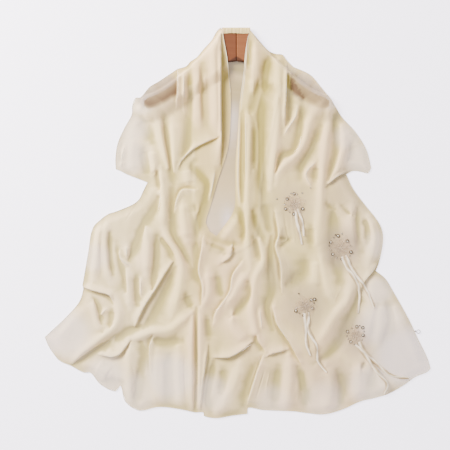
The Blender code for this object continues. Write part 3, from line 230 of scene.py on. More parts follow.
# Fine creases: (height mm, half width mm, then points in cm)
fineCreases = [
    (-1.6, 3, (-24, 31.5), (-22, 29.5), (-20, 28.6)), (1.2, 3, (-12.5, 34), (-12.6, 28), (-12.2, 24)),
    (-1.2, 3, (-6.8, 40), (-6.9, 32), (-6.6, 24)), (1.2, 3, (-7.6, 36), (-7.5, 28), (-7.4, 21)),
    (-1.4, 3, (2.7, 42), (3, 38), (3.2, 32)), (1.2, 2.5, (3.3, 41.5), (3.7, 36), (3.6, 28)),
    (-1.2, 3, (8.4, 36), (8.2, 28), (7.9, 21)), (1.2, 3, (11, 34), (11, 28), (10.7, 22)),
    (-1.2, 3, (3.4, 20), (3.3, 12), (3.1, 2)), (1.1, 3, (6.9, 20), (6.9, 12), (7.1, 6)),
    (-1.3, 3, (10.8, 3), (11.3, -1), (12.5, -6)), (1.2, 3, (12.5, 6), (12.8, 0), (13.5, -6)),
    (-1.2, 3, (13.4, -9), (12.8, -15), (12.2, -20)), (1.2, 3, (14.6, -10), (14.3, -14), (13.6, -17)),
    (-1.2, 3, (-13.8, 4), (-13.5, -1), (-12.8, -4.5)), (-1.4, 3, (-25, -31), (-24.2, -36), (-24.7, -41)),
    (-1.2, 3, (-18.4, -31), (-18.3, -36), (-18.6, -42)), (1, 3, (-14, -31), (-13.7, -36), (-13.6, -42)),
    (-1.2, 3, (-12.3, -30), (-12.4, -36), (-12, -42)), (-1.4, 3, (-0.5, -35), (-1.8, -39), (-3.4, -43)),
    (-1.2, 3, (6.4, -34), (5.2, -38), (4, -42)), (1.1, 3, (7.6, -34), (6.8, -38), (6.3, -42.5)),
    (-1.2, 3, (13.2, -36), (13.4, -40), (13.4, -43)), (-1.1, 3, (18.2, -36), (18.6, -40), (18.4, -43.5)),
    (-1.1, 3, (26.5, -32), (26.4, -37), (26.5, -41)), (1.1, 3, (-19.7, -4), (-20, -8), (-20.5, -12)),
    (-1.2, 3, (-21.8, 8.5), (-24, 4), (-26.5, 0)), (-1.2, 3, (-31.8, -3), (-32, -8), (-31.8, -13)),
    (1.1, 3, (23.7, 22), (24.2, 17), (22.9, 12)), (-1.2, 3, (26.2, 20), (26.3, 16), (25, 12.5)),
    (-1, 3, (17.3, 31.5), (18.7, 29.5), (20.5, 27.6)), (-1.1, 3, (28.6, -6), (28, -10), (26.6, -13.5)),
    (1.1, 3, (24.6, -12.6), (23.6, -16), (22.3, -19)),
]

# The edge of the whole shawl as laid, in cm: names with the points in walking order
edgeRows = {
    "neckLeft": [(-3.6, 45), (-4, 45.6), (-5, 44.5), (-6, 42.7), (-8, 40.5), (-9.5, 38.7), (-11, 37.7),
                 (-12, 36.6), (-14, 36)],
    "slopeLeft": [(-14, 36), (-18.5, 33), (-20.5, 31.8), (-22.7, 29.3), (-23.8, 29.2), (-24.5, 27.5),
                  (-24.7, 25.3), (-26.5, 22), (-28, 18.5), (-28.5, 15), (-28.4, 12.6)],
    "underLeft": [(-28.4, 12.6), (-27.5, 12.3), (-26, 11.5), (-23, 10.3), (-21, 9.5)],
    "lobeLeft": [(-21, 9.5), (-22, 7.5), (-23, 5.5), (-24.5, 4.3), (-28.5, 2.6), (-30.3, 2), (-32.5, 0.3),
                 (-33.5, -0.7), (-34.2, -2.5), (-34.8, -6.5), (-36.2, -14.5)],
    "flapLeft": [(-36.2, -14.5), (-36, -15.4), (-37, -18.5), (-40, -22), (-43.5, -25.3), (-45, -26.7)],
    "flapHemLeft": [(-45, -26.7), (-44, -29), (-42, -31.8), (-41, -32.5), (-39, -33.3)],
    "hemLeft": [(-39, -33.3), (-36, -34.9), (-34.3, -35), (-32, -37.7), (-28.6, -39.3), (-27.3, -38),
                (-26.2, -41.7), (-23, -43.8), (-18.5, -43), (-13.5, -43.5), (-9.9, -44.3)],
    "hemCentre": [(-9.9, -44.3), (-7.9, -44.3), (-7.8, -45.1), (-5, -45.6), (-1, -45), (2.3, -44.6)],
    "hemRightFront": [(2.3, -44.6), (2.5, -43.2), (6, -43.7), (13, -44), (16, -44.4)],
    "hemRight": [(16, -44.4), (20, -44.7), (24, -43.8), (29, -41.6), (32, -40.9), (35.5, -39.8),
                 (39, -37.8), (41.5, -36), (44.3, -34.8), (45.1, -34)],
    "tailSideRight": [(45.1, -34), (44.3, -31.5), (42, -26.8), (40, -22.5), (36.2, -15.7), (34.5, -13),
                      (32.3, -11.2)],
    "lobeRight": [(32.3, -11.2), (33.1, -9.1), (34, -4), (33.6, -1.2), (32.2, 1.2), (29.8, 4.2),
                  (27, 8), (25.4, 11.4)],
    "underRight": [(25.4, 11.4), (27, 12.2), (29, 12), (30.5, 11.7), (31.2, 12.9)],
    "slopeRight": [(31.2, 12.9), (30.1, 17.1), (27.5, 21.3), (24.5, 24.6), (20.9, 30), (19.3, 32),
                   (17, 34.6), (13, 36.5)],
    "neckRight": [(13, 36.5), (11.5, 38), (10.5, 39.3), (9, 39.5), (7.2, 40.2), (5, 42.5), (4, 43.6),
                  (3, 44.8)],
    "innerRight": [(3, 44.8), (2.4, 43), (1.8, 39), (1.5, 35), (0.5, 28), (0, 20), (-0.5, 14),
                   (-0.5, 7), (-0.7, 3.6), (-1.7, 1.3), (-3, -0.5), (-4.9, -3)],
    "innerLeft": [(-4.9, -3), (-6.5, -2), (-7.4, 0), (-6.3, 4), (-4.6, 10),
                  (-3.2, 14), (-2.1, 18), (-1.6, 24), (-1.6, 30.5), (-2, 36), (-3.1, 42), (-3.6, 45)],
}

hanger = {
    # Half the hanger, from the centre out: (distance from centre, top y, bottom y) in cm
    "rows": [(0, 44.9, 37.7), (2.3, 44.8, 37.4), (3.4, 43.9, 36.8), (4.4, 42.2, 36.1), (5.6, 40.8, 35.2),
             (7.4, 38.9, 34.2), (9.2, 37.1, 33.2), (11, 35.4, 32.1), (13, 33.8, 30.7), (15, 32.2, 29.2),
             (17, 30.8, 27.9), (19, 29.8, 27.0), (20.7, 29.2, 26.7), (21.6, 28.5, 27.3)],
    "centre": -0.25 * cm,
    "over": 14.3 * mm,          # height of the cloth that lies on it
    "margin": 3 * mm,
    "steepFall": 9 * mm, "gentleFall": 32 * mm,
    "edgeTurn": 10 * mm,
}
backLift = {"over": 1.8 * mm, "fall": 8 * mm}
backRows = [(-9.5, 36), (-4.6, 40), (-0.2, 40.6), (4.2, 40), (9.3, 36), (8, 24), (5.2, 10), (3.8, -3),
            (-1, -6.4), (-7, -5), (-9.6, 2), (-9.6, 10), (-10, 22)]
offset = Vector((-0.05 * cm, 0, 0))  # the solids' shift to their own middle


def softLine(points, step):
    pts = np.array(points, float)
    gaps = np.linalg.norm(np.diff(pts, axis=0), axis=1)
    along = np.concatenate([[0], np.cumsum(gaps)])
    slope = np.zeros_like(pts)
    slope[1:-1] = (pts[2:] - pts[:-2]) / (along[2:] - along[:-2])[:, None]
    slope[0] = (pts[1] - pts[0]) / gaps[0]
    slope[-1] = (pts[-1] - pts[-2]) / gaps[-1]
    out = []
    for i, gap in enumerate(gaps):
        parts = max(1, int(round(gap / step)))
        for t in np.arange(parts) / parts:
            a = (1 + 2 * t) * (1 - t) ** 2
            b = t * (1 - t) ** 2 * gap
            c = t * t * (3 - 2 * t)
            d = t * t * (t - 1) * gap
            out.append(a * pts[i] + b * slope[i] + c * pts[i + 1] + d * slope[i + 1])
    out.append(pts[-1])
    return np.array(out)


def cmLine(points, step=8 * mm):
    return softLine(np.array(points, float) * cm, step) + [offset.x, 0]


def distanceTo(points, line):
    # distance, side (+1 left of travel) and the share of the line's length
    run = line[1:] - line[:-1]
    size = (run ** 2).sum(1)
    along = np.concatenate([[0], np.cumsum(np.sqrt(size))])
    best = np.full(len(points), 1e9)
    side = np.ones(len(points))
    share = np.zeros(len(points))
    for i in range(len(run)):
        rel = points - line[i]
        t = np.clip((rel @ run[i]) / size[i], 0, 1)
        away = rel - t[:, None] * run[i]
        d = np.hypot(away[:, 0], away[:, 1])
        near = d < best
        best = np.where(near, d, best)
        side = np.where(near, np.sign(run[i, 0] * rel[:, 1] - run[i, 1] * rel[:, 0]), side)
        share = np.where(near, (along[i] + t * math.sqrt(size[i])) / along[-1], share)
    return best, side, share


def inside(points, polygon):
    x, y = points[:, 0], points[:, 1]
    hit = np.zeros(len(points), bool)
    for (x0, y0), (x1, y1) in zip(polygon, np.roll(polygon, -1, axis=0)):
        crosses = (y0 > y) != (y1 > y)
        with np.errstate(divide="ignore", invalid="ignore"):
            at = (x1 - x0) * (y - y0) / (y1 - y0) + x0
        hit ^= crosses & (x < at)
    return hit


def smoothStep(t):
    t = np.clip(t, 0, 1)
    return t * t * (3 - 2 * t)


def hangerOutline():
    rows = np.array(hanger["rows"]) * cm
    top = softLine(rows[:, [0, 1]], hanger["edgeTurn"])
    low = softLine(rows[:, [0, 2]], hanger["edgeTurn"])
    right = np.concatenate([low, top[::-1]])
    left = right[::-1] * [-1, 1]
    whole = np.concatenate([right[:-1], left[:-1]])
    whole = whole[np.linalg.norm(whole - np.roll(whole, 1, axis=0), axis=1) > 1e-6]
    return whole + [hanger["centre"], 0]


hangerEdge = hangerOutline()
backEdge = cmLine(backRows + backRows[:1], 20 * mm)[:-1]
edgeLines = {name: cmLine(row) for name, row in edgeRows.items()}
foldLines = [(kind, strength, cmLine(points)) for kind, strength, points in folds]
creaseLines = [(row[0] * mm, row[1] * mm, cmLine(row[2:])) for row in fineCreases]


def ringHeight(points, ring, level, fall):
    closed = np.concatenate([ring, ring[:1]])
    away = distanceTo(points, closed)[0]
    away = np.where(inside(points, ring), 0, np.maximum(away - hanger["margin"], 0))
    return level * (1 - smoothStep(away / fall))


def lowest(points):
    # what the cloth lies on: it falls steeply above the hanger and gently below it
    steep = ringHeight(points, hangerEdge, hanger["over"], hanger["steepFall"])
    gentle = ringHeight(points, hangerEdge, hanger["over"], hanger["gentleFall"])
    rows = np.array(hanger["rows"]) * cm
    middle = np.interp(np.abs(points[:, 0] - hanger["centre"]), rows[:, 0], (rows[:, 1] + rows[:, 2]) / 2)
    below = smoothStep((middle - points[:, 1]) / hanger["gentleFall"] + 0.5)
    return np.maximum(steep + (gentle - steep) * below,
                      ringHeight(points, backEdge, backLift["over"], backLift["fall"]))


def nearLine(points, line, reach):
    return ((points > line.min(0) - reach) & (points < line.max(0) + reach)).all(1)


def foldHeight(points):
    # each fold line pulls the cloth to its own height, the nearer the more
    pull = np.full(len(points), shawl["basePull"])
    total = pull * shawl["loft"]
    reach, bend = shawl["foldReach"], shawl["foldRound"]
    far = 1 / (reach ** 2 + bend ** 2)
    for kind, strength, line in foldLines:
        near = nearLine(points, line, reach)
        if not near.any():
            continue
        away, side, share = distanceTo(points[near], line)
        end = np.minimum(share, 1 - share)
        highLeft, highRight, spreadLeft, spreadRight, hold = foldKinds[kind]
        faded = strength * (shawl["endHeight"] + shawl["heightGain"] * smoothStep(end / shawl["endShare"]))
        left, right = (faded * (high * mm - shawl["loft"]) / (1 + (away / (spread * mm)) ** 2)
                       for high, spread in ((highLeft, spreadLeft), (highRight, spreadRight)))
        across = smoothStep(side * away / shawl["cliffWidth"] + 0.5)
        held = hold * (shawl["endHold"] + (1 - shawl["endHold"]) * smoothStep(end / shawl["holdShare"]))
        force = held * np.maximum(1 / (away ** 2 + bend ** 2) - far, 0) ** shawl["foldPower"]
        pull[near] += force
        total[near] += force * (shawl["loft"] + right + (left - right) * across)
    return total / pull


def creaseHeight(points):
    total = np.zeros(len(points))
    for height, reach, line in creaseLines:
        near = nearLine(points, line, reach)
        if near.any():
            away, _, share = distanceTo(points[near], line)
            across = np.cos(np.pi / 2 * np.clip(away / reach, 0, 1)) ** 2
            total[near] += height * across * smoothStep(np.minimum(share, 1 - share) / 0.3)
    return total


def rimDistance(points):
    rim = np.full(len(points), 1e9)
    for line in edgeLines.values():
        rim = np.minimum(rim, distanceTo(points, line)[0])
    return rim


def wrinkles(points):
    # faint uneven waves, longer down the cloth than across it
    out = np.empty(len(points))
    for i, (x, y) in enumerate(points.tolist()):
        fine = noise.noise(Vector((x * 80, y * 34, 4.1)))
        out[i] = noise.noise(Vector((x * 34, y * 11, 0.3))) + 0.5 * fine
    return out * shawl["wrinkle"]


def clothTop(points):
    grow = smoothStep(rimDistance(points) / shawl["loftRise"])
    folded = foldHeight(points)
    heap = folded * (shawl["hemShare"] + (1 - shawl["hemShare"]) * grow) - shawl["hemDrop"] * (1 - grow)
    soft = shawl["softLanding"]
    heap = np.where(heap > soft, heap, np.where(heap < -soft, 0, (heap + soft) ** 2 / (4 * soft)))
    fine = (wrinkles(points) + creaseHeight(points)) * (0.25 + 0.75 * grow)
    floorLevel = shawl["cloth"] + lowest(points)
    return np.maximum(floorLevel + heap + fine, floorLevel), folded


def deselectAll():
    for each in list(bpy.context.selected_objects):
        each.select_set(False)


def activate(obj):
    deselectAll()
    obj.select_set(True)
    bpy.context.view_layer.objects.active = obj


def getCoords(obj):
    flat = np.empty(len(obj.data.vertices) * 3)
    obj.data.vertices.foreach_get("co", flat)
    return flat.reshape(-1, 3)


def newGrid(title, across, along):
    bpy.ops.mesh.primitive_grid_add(x_subdivisions=across - 1, y_subdivisions=along - 1, size=1,
                                    location=(0, 0, 0))
    obj = bpy.context.object
    obj.name = title
    return obj


def setCoords(obj, coords):
    obj.data.vertices.foreach_set("co", np.asarray(coords, float).ravel())
    obj.data.update()


def addAttributes(obj, **layers):
    for name, values in layers.items():
        layer = obj.data.attributes.new(name, "FLOAT", "POINT")
        layer.data.foreach_set("value", np.asarray(values, np.float32))


def wear(obj, material):
    obj.data.materials.clear()
    obj.data.materials.append(material)


def dress(obj, material, solids=()):
    # its look, its body and the solids that it stands for
    wear(obj, material)
    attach(obj, "root")
    if solids:
        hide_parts(*solids)


class Sock:
    # a socket that Python's operators add Math nodes to
    def __init__(self, paint, out):
        self.paint = paint
        self.out = out

    def math(self, operation, *values):
        return self.paint.node("ShaderNodeMath", {"operation": operation}, dict(enumerate(values)))

    def __add__(self, other):
        return self.math("ADD", self, other)

    def __radd__(self, other):
        return self.math("ADD", other, self)

    def __sub__(self, other):
        return self.math("SUBTRACT", self, other)

    def __rsub__(self, other):
        return self.math("SUBTRACT", other, self)

    def __mul__(self, other):
        return self.math("MULTIPLY", self, other)

    def clamp(self, low=0.0, high=1.0):
        return self.math("MINIMUM", self.math("MAXIMUM", self, low), high)


class Paint:
    # one material and its Principled shader
    def __init__(self, name, **values):
        self.mat = bpy.data.materials.new(name)
        self.mat.use_nodes = True
        self.tree = self.mat.node_tree
        self.shader = self.tree.nodes["Principled BSDF"]
        for key, value in values.items():
            self.shader.inputs[key.replace("_", " ")].default_value = value

    def put(self, socket, value):
        if isinstance(value, Sock):
            self.tree.links.new(value.out, socket)
        else:
            socket.default_value = value

    def node(self, kind, settings=None, inputs=None, output=0):
        made = self.tree.nodes.new(kind)
        for key, value in (settings or {}).items():
            if key == "stops":
                ramp = made.color_ramp
                while len(ramp.elements) < len(value):
                    ramp.elements.new(0.5)
                for stop, (place, colour) in zip(ramp.elements, value):
                    stop.position = place
                    stop.color = colour
            else:
                setattr(made, key, value)
        for key, value in (inputs or {}).items():
            self.put(made.inputs[key], value)
        return Sock(self, made.outputs[output])

    def coords(self, scale=(1, 1, 1), turn=(0, 0, 0)):
        place = self.node("ShaderNodeTexCoord", output="Object")
        return self.node("ShaderNodeMapping", {}, {"Vector": place, "Scale": scale, "Rotation": turn})

    def attribute(self, name):
        return self.node("ShaderNodeAttribute", {"attribute_name": name}, output="Fac")

    def noise(self, scale, detail=2.0, where=None):
        where = where or self.coords()
        return self.node("ShaderNodeTexNoise", {}, {"Vector": where, "Scale": scale, "Detail": detail})

    def mix(self, share, one, two):
        made = self.tree.nodes.new("ShaderNodeMix")
        made.data_type = "RGBA"
        self.put(made.inputs[0], share)
        self.put(made.inputs[6], one)
        self.put(made.inputs[7], two)
        return Sock(self, made.outputs[2])

    def ramp(self, value, stops):
        return self.node("ShaderNodeValToRGB", {"stops": stops}, {"Fac": value})

    def bump(self, height, strength, distance):
        return self.node("ShaderNodeBump", {},
                         {"Height": height, "Strength": strength, "Distance": distance})

    def use(self, **links):
        for key, value in links.items():
            self.put(self.shader.inputs[key.replace("_", " ")], value)
        return self.mat


# Colours of the chiffon. The first four are a ramp of painted shade and light, darkest in the troughs of
# the folds and lightest on their crests; the last colour is the wood's brown, also used for painted shade
chiffonLook = {
    "deepestShade": (0.43, 0.34, 0.09, 1),
    "low": (0.53, 0.415, 0.135, 1),
    "middle": (0.71, 0.545, 0.21, 1),
    "crest": (0.94, 0.72, 0.335, 1),
    "blush": (0.94, 0.64, 0.37, 1),
    "single": (0.58, 0.45, 0.31, 1),
    "pale": (0.92, 0.75, 0.51, 1),
    "haze": (0.40, 0.295, 0.18, 1),
    "stain": (0.13, 0.072, 0.042, 1),
    "dense": 0.96, "sheerLoss": 0.25,
    "weave": 900.0, "crinkle": 60.0,
}


def makeChiffon():
    paint = Paint("chiffon", Roughness=0.9, Specular_IOR_Level=0.12)
    depth = paint.attribute("depth")
    sheer = paint.attribute("sheer")
    cloud = paint.noise(9.0, 3.0)
    patch = paint.noise(5.0, 2.0, paint.coords((1, 0.6, 1), (0, 0, 0.7)))
    relief = paint.attribute("relief")
    pale = paint.attribute("pale")
    # painted shade and painted light: the colour darkens into the troughs of the folds and lightens onto
    # their crests, by fold height and by how far a place stands above its surroundings
    level = (depth * 0.38 + relief * (pale * 0.26 + 0.18) + 0.53 + (cloud - 0.5) * 0.3).clamp()
    tint = paint.ramp(level, [(0.04, chiffonLook["deepestShade"]), (0.28, chiffonLook["low"]),
                              (0.5, chiffonLook["middle"]), (0.88, chiffonLook["crest"])])
    blushed = paint.mix(((patch - 0.46) * 5.0 * level).clamp(0.0, 0.6), tint, chiffonLook["blush"])
    paler = paint.mix(pale * 0.45 * (level * 0.8 + 0.3).clamp(), blushed, chiffonLook["pale"])
    thin = paint.mix((sheer * 0.75).clamp(0.0, 0.8), paler, chiffonLook["single"])
    hazed = paint.mix(paint.attribute("haze") * 0.6, thin, chiffonLook["haze"])
    # the wood's brown seen through the cloth, with painted shade along the wood's lower edge and over the
    # back panel
    colour = paint.mix(paint.attribute("stain"), hazed, chiffonLook["stain"])
    threads = paint.noise(chiffonLook["weave"], 1.0, paint.coords((1, 0.35, 1)))
    crinkle = paint.noise(chiffonLook["crinkle"], 3.0, paint.coords((1, 0.3, 1)))
    alpha = chiffonLook["dense"] - sheer * chiffonLook["sheerLoss"] + (threads - 0.5) * 0.08
    height = threads * 0.15 + crinkle
    return paint.use(Base_Color=colour, Alpha=alpha.clamp(0.12, 1.0),
                     Normal=paint.bump(height, 0.3, 1.2 * mm))


def makeWorn(name, scale, detail, dark, light, **values):
    # one colour that goes unevenly into another
    paint = Paint(name, **values)
    return paint.use(Base_Color=paint.mix(paint.noise(scale, detail), dark, light))


def makeEdgeHighlight():
    # painted highlight: a bright cream colour, unevenly strong, for the lit edges of folds
    paint = Paint("foldEdgeHighlight", Roughness=0.8, Specular_IOR_Level=0.2)
    uneven = paint.noise(25.0, 2.0)
    return paint.use(Base_Color=paint.mix(uneven, (0.86, 0.77, 0.55, 1), (0.97, 0.90, 0.74, 1)),
                     Alpha=(0.35 + uneven * 0.7).clamp(0.3, 0.95))


def makeWood():
    paint = Paint("hangerWood", Roughness=0.5, Specular_IOR_Level=0.25)
    grain = paint.noise(14.0, 5.0, paint.coords((0.6, 6.0, 1.0)))
    fine = paint.noise(90.0, 2.0, paint.coords((0.3, 5.0, 1.0)))
    side = paint.node("ShaderNodeSeparateXYZ", {}, {"Vector": paint.coords()}, "X")
    down = paint.node("ShaderNodeSeparateXYZ", {}, {"Vector": paint.coords()}, "Y")
    half = paint.node("ShaderNodeMath", {"operation": "GREATER_THAN"}, {0: side, 1: hanger["centre"]})
    out = side - hanger["centre"]
    out = out.math("ABSOLUTE", out)
    # the lower edge turns away from the light: dark within a centimetre of it
    edge = ((out * -0.56 + 0.3898 - down) * 300.0).clamp()
    deep = paint.mix(half, (0.10, 0.028, 0.010, 1), (0.16, 0.050, 0.017, 1))
    pale = paint.mix(half, (0.18, 0.060, 0.023, 1), (0.27, 0.100, 0.037, 1))
    plain = paint.mix((grain * 0.8 + fine * 0.3 - 0.05).clamp(), deep, pale)
    colour = paint.mix(edge * 0.8, plain, (0.035, 0.010, 0.005, 1))
    return paint.use(Base_Color=colour, Normal=paint.bump(grain + fine * 0.4, 0.15, 0.6 * mm))


def makeOrganza():
    paint = Paint("organza", Roughness=0.6, Specular_IOR_Level=0.15)
    cloud = paint.noise(45.0, 2.0)
    colour = paint.mix(cloud, (0.50, 0.36, 0.22, 1), (0.80, 0.61, 0.40, 1))
    alpha = (0.08 + cloud * 0.24).clamp(0.08, 0.4)
    return paint.use(Base_Color=colour, Alpha=alpha)


def makeSatin():
    paint = Paint("satin", Roughness=0.42, Specular_IOR_Level=0.25)
    # painted sheen: the ribbon's colour is brightest down its middle and darker towards its edges, the
    # bright band wandering along its length
    across = paint.attribute("across") + (paint.noise(45.0, 2.0) - 0.5) * 0.9
    colour = paint.ramp(across, [(0.0, (0.50, 0.36, 0.19, 1)), (0.28, (0.86, 0.68, 0.46, 1)),
                                 (0.5, (1.0, 0.91, 0.76, 1)), (0.72, (0.88, 0.70, 0.49, 1)),
                                 (1.0, (0.54, 0.40, 0.22, 1))])
    return paint.use(Base_Color=colour, Normal=paint.bump(across, 0.25, 1.0 * mm))


def makeStone():
    paint = Paint("stone", Roughness=0.12, IOR=1.6, Specular_IOR_Level=0.45)
    # painted glints and reflections: specks from near-black to near-white in the stone's colour
    glintSpecks = paint.noise(520.0, 1.0)
    colour = paint.ramp(glintSpecks, [(0.36, (0.05, 0.035, 0.02, 1)), (0.46, (0.34, 0.26, 0.16, 1)),
                                (0.56, (0.95, 0.85, 0.68, 1)), (1.0, (1, 0.97, 0.9, 1))])
    return paint.use(Base_Color=colour)


chiffon = makeChiffon()
hemCloth = makeWorn("rolledHem", 40.0, 2.0, (0.58, 0.49, 0.33, 1), (0.78, 0.69, 0.50, 1),
                    Roughness=0.85, Specular_IOR_Level=0.15)
edgeHighlightLook = makeEdgeHighlight()
wood = makeWood()
organza = makeOrganza()
satin = makeSatin()
stoneLook = makeStone()
settingLook = makeWorn("setting", 300.0, 1.0, (0.02, 0.014, 0.008, 1), (0.09, 0.062, 0.036, 1),
                       Roughness=0.6, Specular_IOR_Level=0.2)
threadLook = makeWorn("beadThread", 60.0, 1.0, (0.60, 0.46, 0.30, 1), (0.92, 0.76, 0.56, 1), Roughness=0.5)
loopMetal = makeWorn("loopMetal", 400.0, 1.0, (0.10, 0.085, 0.07, 1), (0.62, 0.56, 0.50, 1),
                     Roughness=0.35, Metallic=0.6)
print("materials made")


# Where a single thin layer lies: (x cm, y cm, radius cm, how sheer)
sheerPlaces = [
    (39, -31, 9, 1.0), (34, -24, 7, 0.7), (33, -16, 4, 0.6), (42, -33, 6, 1.0), (31, -38, 6, 0.6),
    (-40, -26, 7, 0.8), (-44, -27, 5, 0.9), (-16, -36, 7, 0.75), (-31, -36, 6, 0.7), (-24, -40, 6, 0.5),
    (-26, 16, 6, 0.6), (-25, 22, 5, 0.6), (-23, 28, 4, 0.6), (29, 15, 5, 0.6), (26, 20, 4, 0.5),
    (-17, 33, 2.6, 0.25), (-20.4, 30.6, 2.4, 0.3), (-23.4, 27.4, 2.4, 0.4), (12.6, 36.2, 2, 0.25),
    (15.8, 33.6, 2.5, 0.3), (18.8, 31, 2.5, 0.3), (21.4, 28.2, 2.2, 0.4),
    (-33.5, -8, 4, 0.5), (33, -5, 4, 0.4), (-6, -40, 5, 0.5), (20, -42, 6, 0.4), (8, -42, 5, 0.4),
]

# Where organza and a second layer make the cloth greyer: (x cm, y cm, radius cm, how strong)
hazePlaces = [
    (13.2, 4.4, 6, 0.6), (24, -5.7, 6, 1.2), (15.7, -19.4, 7, 0.8), (27.4, -26.3, 6, 0.9), (27, 8, 7, 0.6),
    (38, -30, 8, 0.7), (10, -12, 5, 0.5), (22, -36, 6, 0.6),
]

# Where the wood's brown shows softly through the cloth, with painted shade along the wood's lower edge: (x
# cm, y cm, radius cm, how strong)
shadeAndWoodTintPlaces = [
    (-15.6, 31.6, 3.8, 1.0), (-17.5, 30.6, 4, 1.0), (-19.9, 29, 3.6, 0.95), (-21.4, 28.4, 2.4, 0.7),
    (13.6, 33, 3, 0.8), (15.4, 31.4, 3.8, 0.8), (17.8, 29.8, 3.4, 0.7), (19.4, 28.4, 2.8, 0.55),
    (12.4, 34.4, 1.0, 1.0), (12.7, 33, 1.2, 1.1), (13.1, 31.6, 1.4, 1.25), (13.8, 30.2, 1.5, 1.3),
    (14.7, 29.2, 1.2, 1.1),
]
shadeAndWoodTintLook = {
    "drop": 0.8 * cm,           # how far the painted shade reaches below the wood's lower edge
    "fade": 3.4 * cm,
    # faint: the wood's brown seen through the cloth; dark: painted shade along the wood's lower edge
    "faint": 0.66, "dark": 0.30, "darkAt": 1.2 * cm, "darkSpread": 2.2 * cm,
    "heapMiddle": -0.95 * cm, "heapHalf": 13.15 * cm, "heapFade": 0.5 * cm,
    "most": 0.95,
}


def shadeAndWoodTintShare(points):
    # painted shade, darkest along the wood's lower edge; the wood's own brown, fainter above it; none below
    look = shadeAndWoodTintLook
    rows = np.array(hanger["rows"]) * cm
    low = np.interp(np.abs(points[:, 0] - hanger["centre"]), rows[:, 0], rows[:, 2])
    above = points[:, 1] - low + look["drop"]
    shade = look["faint"] + look["dark"] * np.exp(-((above - look["darkAt"]) / look["darkSpread"]) ** 2)
    shade *= smoothStep(above / look["fade"] + 0.5 + 0.03 * np.sin(points[:, 0] * 210))
    # the heap between the shoulders is too thick for it to show
    past = np.abs(points[:, 0] - look["heapMiddle"]) - look["heapHalf"]
    shade *= smoothStep(past / look["heapFade"] + 0.5)
    return np.clip(shade * placed(points, shadeAndWoodTintPlaces), 0, look["most"])


# The outer parts are of fewer layers, so paler: past "side" from the middle, and half as much past "end"
paleLook = {"middle": 3 * cm, "side": 15 * cm, "sideFade": 14 * cm, "end": -28 * cm, "endFade": 12 * cm,
            "endShare": 0.5}
placeLook = {"core": 0.45, "fade": 0.65}  # shares of a place's radius


def paleness(points):
    look = paleLook
    out = smoothStep((np.abs(points[:, 0] - look["middle"]) - look["side"]) / look["sideFade"])
    return np.maximum(out, look["endShare"] * smoothStep((look["end"] - points[:, 1]) / look["endFade"]))


def placed(points, places):
    out = np.zeros(len(points))
    for x, y, radius, share in places:
        away = np.hypot(points[:, 0] - x * cm, points[:, 1] - y * cm) / (radius * cm)
        fade = smoothStep((away - placeLook["core"]) / placeLook["fade"])
        out = np.maximum(out, share * (1 - fade))
    return out


# The shawl: copies of its stretches, welded, opened below and shaped again more finely
stretchNames = ["left_shoulder", "left_outer", "left_tail", "left_front",
                "right_front", "right_outer", "right_tail", "right_shoulder"]


def copyNodes(names, title):
    copies = []
    for name in names:
        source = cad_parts[name]
        twin = bpy.data.objects.new(title, source.data.copy())
        bpy.context.scene.collection.objects.link(twin)
        copies.append(twin)
    return joinAll(copies, title)


def joinAll(objs, title):
    activate(objs[0])
    for each in objs:
        each.select_set(True)
    if len(objs) > 1:
        bpy.ops.object.join()
    objs[0].name = title
    bpy.ops.object.transform_apply(location=True, rotation=True, scale=True)
    return objs[0]


def divideFaces(obj, cuts):
    activate(obj)
    bpy.ops.object.mode_set(mode="EDIT")
    bpy.ops.mesh.select_all(action="SELECT")
    bpy.ops.mesh.subdivide(number_cuts=cuts)
    bpy.ops.object.mode_set(mode="OBJECT")


def keepUpperFaces(obj):
    mesh = bmesh.new()
    mesh.from_mesh(obj.data)
    bmesh.ops.remove_doubles(mesh, verts=mesh.verts, dist=shawl["weld"])
    mesh.normal_update()
    below = [face for face in mesh.faces if face.normal.z < shawl["facingUp"]]
    bmesh.ops.delete(mesh, geom=below, context="FACES")
    bmesh.ops.remove_doubles(mesh, verts=mesh.verts, dist=shawl["seam"])
    mesh.to_mesh(obj.data)
    mesh.free()


def localRelief(obj, rounds):
    # how far each place stands above its surroundings, in fold heights, for the painted shade in hollows
    # and painted light on ridges
    pairs = np.empty(len(obj.data.edges) * 2, np.int64)
    obj.data.edges.foreach_get("vertices", pairs)
    one, two = pairs.reshape(-1, 2).T
    high = getCoords(obj)[:, 2]
    count = np.maximum(np.bincount(one, minlength=len(high)) + np.bincount(two, minlength=len(high)), 1)
    smooth = high.copy()
    for _ in range(rounds):
        total = (np.bincount(one, smooth[two], len(high)) + np.bincount(two, smooth[one], len(high)))
        smooth = 0.5 * smooth + 0.5 * total / count
    return np.clip((high - smooth) / shawl["reliefUnit"], -1, 1)


def buildShawl():
    obj = copyNodes(stretchNames, "shawl")
    keepUpperFaces(obj)
    divideFaces(obj, shawl["cuts"])
    coords = getCoords(obj)
    flat = coords[:, :2]
    coords[:, 2], raised = clothTop(flat)
    setCoords(obj, coords)
    # depth and relief carry the painted shade in the folds' troughs and the painted light on their crests
    addAttributes(obj, depth=np.clip((raised - shawl["loft"]) / shawl["depthUnit"], -1, 1),
                  relief=localRelief(obj, shawl["reliefRounds"]),
                  sheer=placed(flat, sheerPlaces), stain=shadeAndWoodTintShare(flat), pale=paleness(flat),
                  haze=placed(flat, hazePlaces))
    bpy.ops.object.shade_smooth()
    dress(obj, chiffon, stretchNames)
    return obj


shawlCloth = buildShawl()
print("shawl", len(shawlCloth.data.polygons))


def treeOf(obj):
    verts = [v.co.copy() for v in obj.data.vertices]
    return BVHTree.FromPolygons(verts, [tuple(p.vertices) for p in obj.data.polygons])


shawlTree = treeOf(shawlCloth)


